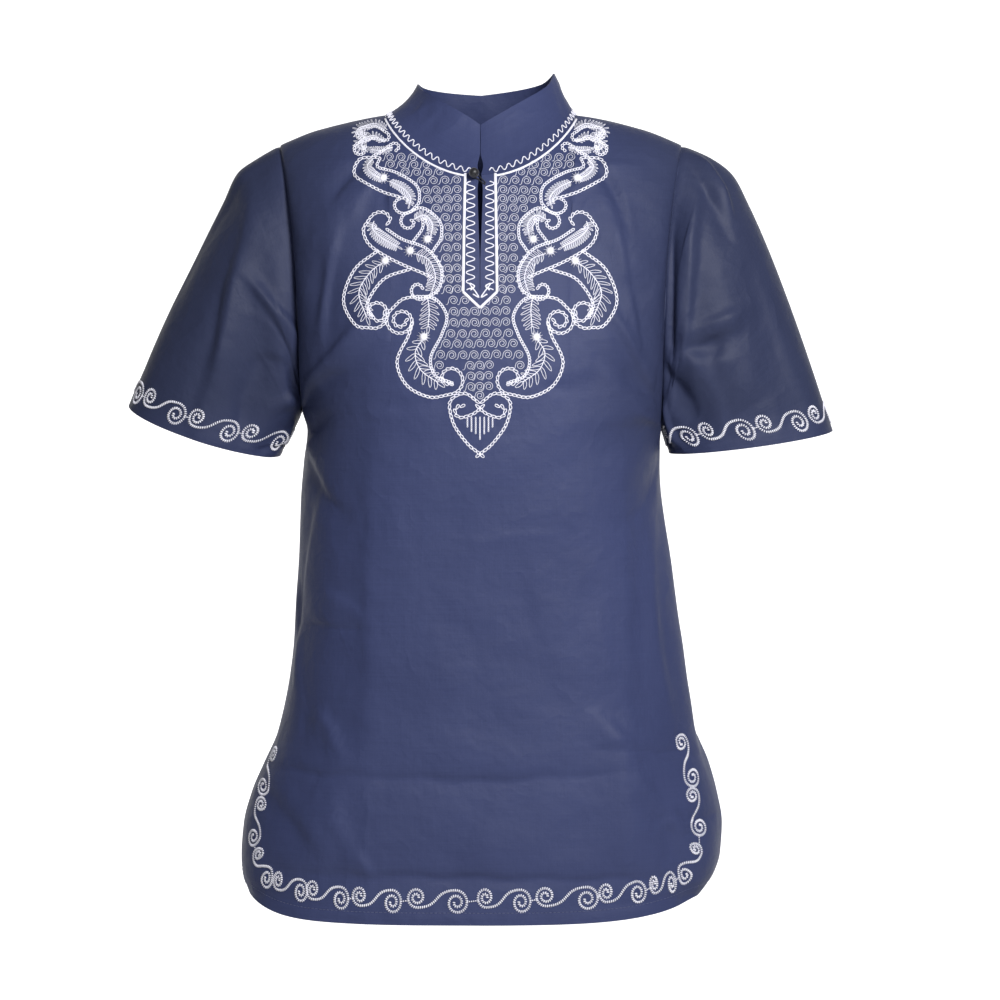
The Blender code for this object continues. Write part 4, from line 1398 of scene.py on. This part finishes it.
CHAIN_RADIUS = 0.00047
CHAIN_WIDTH = 0.0029
OPEN_PITCH = 0.0041
CLOSE_PITCH = 0.0026

# %% Sewing the scrolls
open_chain = Sewing(chest)
close_chain = Sewing(chest)
for row in OPEN_SCROLLS:
    for line in mirrored(scroll(row)):
        open_chain.chain(line, OPEN_PITCH, CHAIN_WIDTH, CHAIN_RADIUS)
for row in CLOSE_SCROLLS:
    for line in mirrored(scroll(row)):
        close_chain.chain(line, CLOSE_PITCH, CHAIN_WIDTH, CHAIN_RADIUS)
scroll_chain = open_chain.finish("scroll_chain", bright_thread)
scroll_cord = close_chain.finish("scroll_close_chain", bright_thread)

# %% [markdown]
# ## Ferns, leaf clusters and stars
# Between the scrolls grow ferns: a stem with pairs of narrow loops. The clusters are short
# loops in a fan, sewn so close that they look solid. A star is a knot of crossing bars with
# a few longer rays.

# %% Places of the ferns and stars
FERNS = (
    # places of the stem, its last curl, leaves on a side, length, width, lean in degrees
    (((86, -150), (99, -160), (109, -178), (102, -200)), None, 10, 11.0, 3.2, 50),
    (((59, -143), (46, -149), (40, -164), (43, -177)), None, 12, 9.0, 2.2, 58),
    (((47, -183), (45.5, -195), (46.5, -209)), None, 6, 9.5, 3.0, 58),
    (((51, -220), (58, -233), (53, -248), (38, -259)), None, 8, 10.5, 3.8, 52),
    (((83, -76), (71, -82), (63, -91), (64, -98)), None, 15, 5.2, 1.6, 62),
    (((96, -113), (97, -120), (88, -129), (74, -137)), None, 17, 6.0, 1.7, 66),
    (((60, -112), (50, -108), (43, -116), (44, -125)), None, 13, 6.0, 1.7, 64),
    (((98, -54), (103, -61), (98, -69), (89, -74)), None, 15, 4.6, 1.5, 70),
    (((86, -25), (97, -18), (110, -21)), (6, -0.7), 16, 5.5, 1.6, 66),
    (((88, -38), (98, -31), (108, -34)), (7, -0.8), 17, 5.0, 1.6, 66),
    (((80, -43), (90, -46), (100, -45)), None, 9, 4.5, 1.6, 60),
)
STARS = ((88, -72.5), (47.5, -130), (63, -140.5), (85.5, -149.5), (50.5, -218.5))
FERN_FROM = 0.06
FERN_TO = 0.95
LEAF_RADIUS = 0.00030
STEM_RADIUS = 0.00050
STEM_STEP = 0.0002

# %% Sewing the ferns
greenery = Sewing(chest)
for places, last, count, length, width, lean in FERNS:
    for line in mirrored(scroll((places, None, last))):
        greenery.thread([line], STEM_RADIUS, 5)
        roots = even(line, STEM_STEP)
        part = np.linspace(FERN_FROM, FERN_TO, count)
        pick = (part * (len(roots) - 1)).astype(int)
        ahead, beside = headings(roots)
        size = length * MM * (0.70 + 0.40 * np.sin(math.pi * part))
        for hand in (-1, 1):
            turn = math.radians(lean) * hand
            way = ahead[pick] * math.cos(turn) + beside[pick] * math.sin(turn)
            greenery.leaves(roots[pick], way, size, width * MM, LEAF_RADIUS)
        greenery.leaves(roots[-1:], ahead[-1:], size[-1:], width * MM, LEAF_RADIUS)
leaf_sprays = greenery.finish("leaf_sprays", bright_thread)

# %% Sewing the stars
STAR_ROWS = (
    # bars, reach, radius, first angle
    (10, 0.0039, 0.00064, 0.0),
    (6, 0.0060, 0.00034, 0.3),
)
stars = Sewing(chest)
for places in mirrored(STARS):
    for centre in places:
        for count, reach, radius, start in STAR_ROWS:
            angles = start + math.pi * np.arange(count) / count
            way = np.stack([np.cos(angles), np.sin(angles)], -1)
            steps = np.array([-1.0, -0.4, 0.4, 1.0])[:, None]
            paths = centre + way[:, None] * steps * reach
            stars.thread(paths, np.array([0.35, 1, 1, 0.35]) * radius, 4, lift=0.9)
star_knots = stars.finish("star_knots", bright_thread)

# %% [markdown]
# ## The ground of running spirals
# Between the scrolls and the slit lies a ground of small running spirals in fine thread.
# One spiral is made by formula, and it is repeated along rows. The rows are listed with the
# place where the scrolls leave room for them.

# %% Rows of spirals
FILL_ROWS = (
    # down, from, to, in millimetres out from the middle
    (53.0, 88, 56), (60.0, 87, 44), (67.3, 73, 32), (75.5, 58, 16), (84.5, 54, 16),
    (93.0, 52, 16), (101.5, 44, 16), (110.5, 36, 16), (119.5, 33, 16), (128.5, 33, 16),
    (138.0, 35, 16), (147.5, 35, 16), (157.0, 33, 16), (166.5, 31, 16), (176.0, 32, 16),
    (186.0, 29, 8), (195.5, 28, -28), (205.5, 28, -28), (215.5, 31, -31), (224.5, 35, -35),
    (234.5, 40, -40), (244.0, 13, -13), (253.5, 12, -12), (263.0, 12, -12),
    (271.0, 5, -5), (244.0, 41, 31),
)
SPIRAL_PITCH = 0.0096
SPIRAL_RADIUS = 0.0043
SPIRAL_TURNS = 1.8
SPIRAL_SHRINK = 0.74
SPIRAL_LEAD = ((-1.62, -0.86), (-1.32, -0.90), (-1.10, -0.55))
FILL_RADIUS = 0.00029
FILL_SWAY = 0.0004

# %% Sewing the spirals
turn = np.linspace(0, 1, 24)
angle = math.pi - 2 * math.pi * SPIRAL_TURNS * turn
shrink = SPIRAL_RADIUS * (1 - SPIRAL_SHRINK * turn)
spiral = np.stack([np.cos(angle) * shrink, np.sin(angle) * shrink], -1)
spiral = np.vstack([np.array(SPIRAL_LEAD) * SPIRAL_RADIUS, spiral])
fill = Sewing(chest)
centres = []
for down, start, end in FILL_ROWS:
    count = max(1, round((start - end) * MM / SPIRAL_PITCH))
    xs = (end + (start - end) * (np.arange(count) + 0.5) / count) * MM
    for side in (-1, 1) if end > 0 else (1,):
        centres += [(side * x, FILL_SWAY * math.sin(90 * x) - down * MM) for x in xs]
centres = np.array(centres)
fill.thread(centres[:, None] + spiral[None], FILL_RADIUS, 4, lift=0.8)
fill_spirals = fill.finish("ground_spirals", fine_thread)
print("spirals", len(centres))

# %% Drops under the heart
DROPS = (
    # out from the middle, top and foot, in millimetres
    (0.0, -290, -308),
    (3.8, -290, -303),
    (7.6, -290, -301),
    (11.2, -291, -297),
)
DROP_PITCH = 0.0019
DROP_WIDTH = 0.0012
DROP_RADIUS = 0.00030
drops = Sewing(chest)
for x, top, foot in DROPS:
    for side in (-1, 1) if x else (1,):
        line = curve([(side * x * MM, top * MM), (side * x * MM, foot * MM)])
        drops.chain(line, DROP_PITCH, DROP_WIDTH, DROP_RADIUS)
heart_drops = drops.finish("heart_drops", bright_thread)

# %% [markdown]
# ## The borders
# A border of double spirals in satin stitch runs along the hem, round its corners and up
# the side vents, and another runs round each cuff. The border is drawn on a strip: one axis
# runs along the edge and the other away from it. A small spiral opens into a link that rolls
# over a big one. Each pair has the same form, made longer or shorter to fit its place.

# %% One pair of spirals
SMALL_RADIUS = 0.0090
BIG_RADIUS = 0.0110
BIG_OFFSET = 0.0375
BORDER_TURNS = 1.75
BAR_PITCH = 0.0019
BAR_WIDTH = 0.0025
BAR_RADIUS = 0.00082
SMALL_LIFT = 0.0048
SMALL_SHRINK = 0.78
BIG_SHRINK = 0.78
LINK_PULL = 0.62
BORDER_STEP = 0.0006
BRIDGE_LEAST = 0.0016
BRIDGE_AWAY = (0.001, 0.002)
BRIDGE_THIN = 0.5


def border_pair():
    """A small spiral, its link and a big spiral, from the middle of one to the other."""
    t = np.linspace(0, 1, 40)
    angle = -math.pi / 2 - 2 * math.pi * BORDER_TURNS * (1 - t)
    size = SMALL_RADIUS * (1 - SMALL_SHRINK * (1 - t))
    small = np.stack([np.cos(angle) * size, SMALL_LIFT + np.sin(angle) * size], -1)
    start = np.array([0.0, SMALL_LIFT - SMALL_RADIUS])
    end = np.array([BIG_OFFSET, BIG_RADIUS])
    pull = np.array([BIG_OFFSET * LINK_PULL, 0.0])
    s = np.linspace(0, 1, 24)[1:-1, None]
    link = (
        start * (1 - s) ** 3 + 3 * (start + pull) * s * (1 - s) ** 2
        + 3 * (end - pull) * s * s * (1 - s) + end * s**3
    )
    angle = math.pi / 2 - 2 * math.pi * BORDER_TURNS * t
    size = BIG_RADIUS * (1 - BIG_SHRINK * t)
    big = np.stack([BIG_OFFSET + np.cos(angle) * size, np.sin(angle) * size], -1)
    return np.vstack([small, link, big])


pair = border_pair()


def sew_border(name, ground, strip, places):
    """Pairs of spirals along a strip, which turns (along, away) into chart places."""
    sewing = Sewing(ground)
    ends = []
    for small, big in places:
        line = pair * ((big - small) / BIG_OFFSET, 1.0) + (small, 0.0)
        sewing.bars(strip(even(line, BORDER_STEP)), BAR_PITCH, BAR_WIDTH, BAR_RADIUS)
        ends.append((line[:, 0].min(), line[:, 0].max()))
    for (_, end), (start, _) in zip(ends, ends[1:]):
        if start - end > BRIDGE_LEAST:
            line = even([(end, BRIDGE_AWAY[0]), (start, BRIDGE_AWAY[1])], BORDER_STEP)
            sewing.bars(strip(line), BAR_PITCH, BAR_WIDTH * BRIDGE_THIN, BAR_RADIUS)
    print(name, len(ends), "pairs")
    return sewing.finish(name, bright_thread)


# %% [markdown]
# ## The strip along the hem
# The border follows a route from the top of one vent, round the hem and up to the top of the
# other vent. The route is set by a few places, and it is read off the flat chart, so the
# spirals keep their shape on the cloth. Their places along it are listed too. On the
# wearer's left vent the pairs run the other way, so there the big spiral comes first.

# %% Hem borders
BORDER_ROUTE = (
    # x, z on the front; the back has the same route
    (-0.187, -0.568), (-0.191, -0.590), (-0.200, -0.626), (-0.207, -0.655), (-0.2085, -0.684),
    (-0.197, -0.711), (-0.164, -0.7205), (-0.108, -0.7260), (0.0, -0.7265), (0.108, -0.7240),
    (0.154, -0.7190), (0.186, -0.7090), (0.200, -0.686), (0.200, -0.658), (0.195, -0.622),
    (0.188, -0.590), (0.186, -0.568),
)
BORDER_PAIRS = (
    # where a small spiral and its big one sit, in millimetres along the hem from its middle
    (-326, -298), (-282, -252), (-234, -208), (-194, -168), (-156, -128), (-110, -80), (-58, -22),
    (4, 36), (58, 96), (114, 144), (161, 180), (224, 197), (276, 246), (324, 292),
)
ROUTE_STEP = 0.004
STRIP_STEP = 0.002


def on_chart(rows, arcs, places):
    """Places in x and z, moved to the distance across the cloth and z."""
    heights = rows[:, 0, 2]
    found = []
    for x, z in places:
        j = int(np.argmin(np.abs(heights - z)))
        found.append((np.interp(x, rows[j, :, 0], arcs[j]), z))
    return np.array(found)


def make_strip(line):
    """The way from (along, away) on a strip to places on its chart, and where it runs."""
    length = np.linalg.norm(np.diff(line, axis=0), axis=1).sum()
    middle = length * np.argmin(np.abs(line[:, 0])) / (len(line) - 1)
    ahead, beside = headings(line)
    steps = np.linspace(0, length, len(line)) - middle

    def strip(places):
        found = [np.interp(places[:, 0], steps, line[:, k]) for k in (0, 1)]
        away = [np.interp(places[:, 0], steps, beside[:, k]) for k in (0, 1)]
        return np.stack(found, -1) + np.stack(away, -1) * places[:, 1:]

    return strip, steps


def make_hem_border(face):
    ground, rows, arcs = make_hem_ground(face)
    route = on_chart(rows, arcs, curve(BORDER_ROUTE, ROUTE_STEP))
    strip, _ = make_strip(even(route, STRIP_STEP))
    return sew_border(f"hem_border_{face}", ground, strip, np.array(BORDER_PAIRS) * MM)


hem_border_front = make_hem_border("front")
hem_border_back = make_hem_border("back")

# %% Cuff borders
CUFF_INSET = 0.0165
CUFF_PITCH = 0.054
CUFF_LINK = 0.033
CUFF_START = {-1: -0.007, 1: -0.038}
CUFF_CHART_UP = 0.05
CUFF_CHART_ROWS = 26
CUFF_CHART_COLUMNS = 361
CUFF_CHART_OVER = 0.25
CUFF_LEVEL = 8


def make_cuff_border(name, side):
    """A border on a chart of the cuff that goes on for a quarter turn past both ends."""
    points = sleeve_grids[side]
    down = np.linalg.norm(np.diff(points, axis=0), axis=2).cumsum(0)
    down = np.concatenate([np.zeros((1, points.shape[1])), down])
    ups = np.linspace(0.0, CUFF_CHART_UP, CUFF_CHART_ROWS)
    rows = np.zeros((CUFF_CHART_ROWS, points.shape[1], 3))
    for i in range(points.shape[1]):
        for k in range(3):
            rows[:, i, k] = np.interp(down[-1, i] - ups, down[:, i], points[:, i, k])
    arcs = arc_lengths(rows, 0)
    around = arcs[CUFF_LEVEL, -1]
    xs = np.linspace(-CUFF_CHART_OVER, 1 + CUFF_CHART_OVER, CUFF_CHART_COLUMNS)
    turned = (xs if side < 0 else 1 - xs) % 1.0
    chart = np.zeros((CUFF_CHART_ROWS, CUFF_CHART_COLUMNS, 3))
    for j in range(CUFF_CHART_ROWS):
        for k in range(3):
            chart[j, :, k] = np.interp(turned * arcs[j, -1], arcs[j], rows[j, :, k])
    ground = Ground((xs[0] * around, 0.0), (xs[-1] * around, CUFF_CHART_UP), chart)
    count = round(around / CUFF_PITCH)
    pitch = around / count

    def strip(places):
        return places + (0.0, CUFF_INSET)

    starts = CUFF_START[side] + pitch * np.arange(count)
    return sew_border(name, ground, strip, np.stack([starts, starts + CUFF_LINK], -1))


cuff_border_right = make_cuff_border("cuff_border_right", -1)
cuff_border_left = make_cuff_border("cuff_border_left", 1)

# %% [markdown]
# ## Button and loop
# The ball is a core covered with dark cloth, whose gathers meet at the shank. It starts as a
# sphere, twelve pleats are pressed into it that deepen towards the back, and the faces there
# are extruded to a short stem. A subdivision rounds it all. The loop is a round cord from the
# other edge of the slit, which goes round the stem, with two finer strands twisted over it.

# %% The ball button
BUTTON_RADIUS = 0.0047
BUTTON_PLEATS = 12
PLEAT_DEPTH = 0.045
STEM_FROM = 0.93
STEM_LENGTH = 0.0016
button_low, button_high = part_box("button")
button_middle = (Vector(button_low) + Vector(button_high)) / 2
print("button middle", [round(n, 4) for n in button_middle])


def make_button(name):
    """The ball, with its front where the CAD model has it."""
    bpy.ops.object.select_all(action="DESELECT")
    middle_y = Vector(button_low).y + BUTTON_RADIUS
    centre = Vector((button_middle.x, middle_y, button_middle.z))
    bpy.ops.mesh.primitive_uv_sphere_add(
        segments=24, ring_count=16, radius=BUTTON_RADIUS, location=centre,
        rotation=(math.radians(90), 0, 0),
    )
    ball = bpy.context.object
    ball.name = name
    bpy.ops.object.transform_apply(location=True, rotation=True, scale=True)
    bpy.ops.object.mode_set(mode="EDIT")
    bpy.ops.mesh.select_all(action="DESELECT")
    bpy.ops.object.mode_set(mode="OBJECT")
    for vertex in ball.data.vertices:
        offset = vertex.co - centre
        around = math.atan2(offset.z, offset.x)
        back_part = (offset.y / BUTTON_RADIUS + 1) / 2
        pleat = PLEAT_DEPTH * back_part * math.cos(BUTTON_PLEATS * around)
        vertex.co = centre + offset * (1 + pleat)
    for polygon in ball.data.polygons:
        polygon.select = (polygon.center - centre).y > BUTTON_RADIUS * STEM_FROM
    bpy.ops.object.mode_set(mode="EDIT")
    bpy.ops.mesh.select_mode(type="FACE")
    bpy.ops.mesh.extrude_region_move(TRANSFORM_OT_translate={"value": (0, STEM_LENGTH, 0)})
    bpy.ops.object.mode_set(mode="OBJECT")
    soft = ball.modifiers.new("soft", "SUBSURF")
    soft.levels = 1
    soft.render_levels = 1
    bpy.ops.object.modifier_apply(modifier="soft")
    bpy.ops.object.shade_smooth()
    ball.data.materials.append(dark_cloth)
    return ball


button = make_button("ball_button")

# %% The cord loop
LOOP_PLACES = (
    # x, z in metres: from the edge of the slit, round the stem and back
    (0.0046, -0.0795), (0.0015, -0.0775), (-0.0022, -0.0745), (-0.0046, -0.0735),
    (-0.0074, -0.0722), (-0.0080, -0.0705), (-0.0066, -0.0690), (-0.0042, -0.0695),
    (-0.0015, -0.0715), (0.0020, -0.0750), (0.0050, -0.0780),
)
LOOP_STEP = 0.0005
LOOP_RADIUS = 0.0005
STRAND_RADIUS = 0.0003
STRAND_POINTS = 7
loop_sewing = Sewing(chest)
loop_line = curve(LOOP_PLACES, LOOP_STEP)
loop_sewing.thread([loop_line], LOOP_RADIUS, 10, lift=1.1)
ahead, beside = headings(loop_line)
for hand in (0, 1):
    turn = 2 * math.pi * np.arange(len(loop_line)) / STRAND_POINTS + math.pi * hand
    twist = loop_line + beside * (STRAND_RADIUS * np.cos(turn))[:, None]
    loop_sewing.thread([twist], STRAND_RADIUS, 6, lift=2.6)
loop = loop_sewing.finish("cord_loop", dark_cloth)

# %% [markdown]
# ## Turned hems
# The hem and the vents are turned in twice and held by a line of short stitches in navy
# thread, which is hardly seen but catches the light.

# %% Machine stitches along the hems
STITCH_LONG = 0.0026
STITCH_STEP = 0.0038
STITCH_INSET = 0.0112
STITCH_RADIUS = 0.0003
STITCH_MARGIN = 0.003


def sew_hem_line(name, face):
    """Stitches at one distance from the edge, up one vent, along the hem and up the other."""
    ground, rows, arcs = make_hem_ground(face)
    heights = rows[:, 0, 2]
    hem_z = panel_points[face][0, :, 2]
    hem = [(np.interp(z, heights, arcs[:, i]), z) for i, z in enumerate(hem_z)]
    rise = np.linspace(VENT_TOP_Z, hem_z[0], 60)
    left = np.stack([np.interp(rise, heights, arcs[:, 0]), rise], -1)
    rise = np.linspace(hem_z[-1], VENT_TOP_Z, 60)
    right = np.stack([np.interp(rise, heights, arcs[:, -1]), rise], -1)
    edge = even(np.vstack([left[:-1], hem, right[1:]]), STRIP_STEP)
    ahead, beside = headings(edge)
    strip, steps = make_strip(even(edge + beside * STITCH_INSET, STRIP_STEP))
    starts = np.arange(steps[0] + STITCH_MARGIN, steps[-1] - STITCH_MARGIN, STITCH_STEP)
    reach = np.array([0.0, 0.5, 1.0]) * STITCH_LONG
    places = np.stack(np.broadcast_arrays(starts[:, None] + reach, 0.0), -1)
    paths = strip(places.reshape(-1, 2)).reshape(-1, 3, 2)
    sewing = Sewing(ground)
    sewing.thread(paths, np.array([0.5, 1.0, 0.5]) * STITCH_RADIUS, 4, lift=0.4)
    return sewing.finish(name, navy_thread)


hem_line_front = sew_hem_line("hem_stitches_front", "front")
hem_line_back = sew_hem_line("hem_stitches_back", "back")

# %% [markdown]
# ## The stage
# A pale floor lies well below the hem, and bends up into a pale wall behind, so there is no
# line between them. The wall glows, so the picture is white behind the shirt. The floor
# doesn't, because light from below would fill the folds.

# %% Floor and wall
FLOOR_Z = -1.50
WALL_Y = 3.2
BEND = 1.0
STAGE_GLOW = 0.8
GLOW_Y = 1.6
GLOW_STEEP = 2.0
BEND_STEPS = 12
STAGE_HALF = 4.0
STAGE_FRONT_Y = -3.5
WALL_TOP_Z = 2.5


def make_stage(name):
    line = [(STAGE_FRONT_Y, FLOOR_Z), (0.0, FLOOR_Z), (WALL_Y - BEND, FLOOR_Z)]
    for k in range(1, BEND_STEPS + 1):
        turn = math.pi / 2 * k / BEND_STEPS
        line.append((WALL_Y - BEND + BEND * math.sin(turn), FLOOR_Z + BEND * (1 - math.cos(turn))))
    line.append((WALL_Y, WALL_TOP_Z))
    points = [(x, y, z) for y, z in line for x in (-STAGE_HALF, STAGE_HALF)]
    faces = [(2 * i, 2 * i + 1, 2 * i + 3, 2 * i + 2) for i in range(len(line) - 1)]
    material, shader, shade = new_material("pale_paper")
    place = shade.object_place()
    clouds = shade.noise(place, 2.0)
    behind = shade.between((shade.part(place, 1) - GLOW_Y) * GLOW_STEEP)
    feed(
        shade,
        shader,
        Base_Color=shade.mix(clouds, (0.90, 0.90, 0.90, 1), (0.93, 0.93, 0.93, 1)),
        Emission_Color=shade.mix(behind, (0.0, 0.0, 0.0, 1), (1.0, 1.0, 1.0, 1)),
    )
    shader.inputs["Roughness"].default_value = 0.9
    shader.inputs["Emission Strength"].default_value = STAGE_GLOW
    stage = add_piece(name, points, faces, material)
    print(name, "from z", FLOOR_Z, "to", WALL_TOP_Z)


make_stage("pale_stage")

# %% [markdown]
# ## Pieces on the body
# Every piece rides on the only body. A piece that stands for a CAD node hides that node.

# %% Pieces, nodes and slots
PIECES = (
    # piece, CAD node that it stands for, slot
    (front, "front_panel", "front_panel"),
    (back, "back_panel", "back_panel"),
    (sleeve_right, "sleeve_right", "sleeve_right"),
    (sleeve_left, "sleeve_left", "sleeve_left"),
    (collar, "collar", "collar"),
    (button, "button", "button"),
    (loop, "button_loop", "button_loop"),
    (neck_cord, None, "front_panel"),
    (slit_waves, None, "front_panel"),
    (collar_wave, None, "collar"),
    (scroll_chain, None, "front_panel"),
    (scroll_cord, None, "front_panel"),
    (leaf_sprays, None, "front_panel"),
    (star_knots, None, "front_panel"),
    (fill_spirals, None, "front_panel"),
    (heart_drops, None, "front_panel"),
    (hem_border_front, None, "front_panel"),
    (hem_border_back, None, "back_panel"),
    (hem_line_front, None, "front_panel"),
    (hem_line_back, None, "back_panel"),
    (cuff_border_right, None, "sleeve_right"),
    (cuff_border_left, None, "sleeve_left"),
)
for piece, node, slot in PIECES:
    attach(piece, "root")
    if node:
        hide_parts(node)

# %% The work sewn on the front panel
chest_work = [neck_cord, slit_waves, scroll_chain, scroll_cord, leaf_sprays, star_knots]
chest_work += [fill_spirals, heart_drops, hem_border_front, hem_line_front]
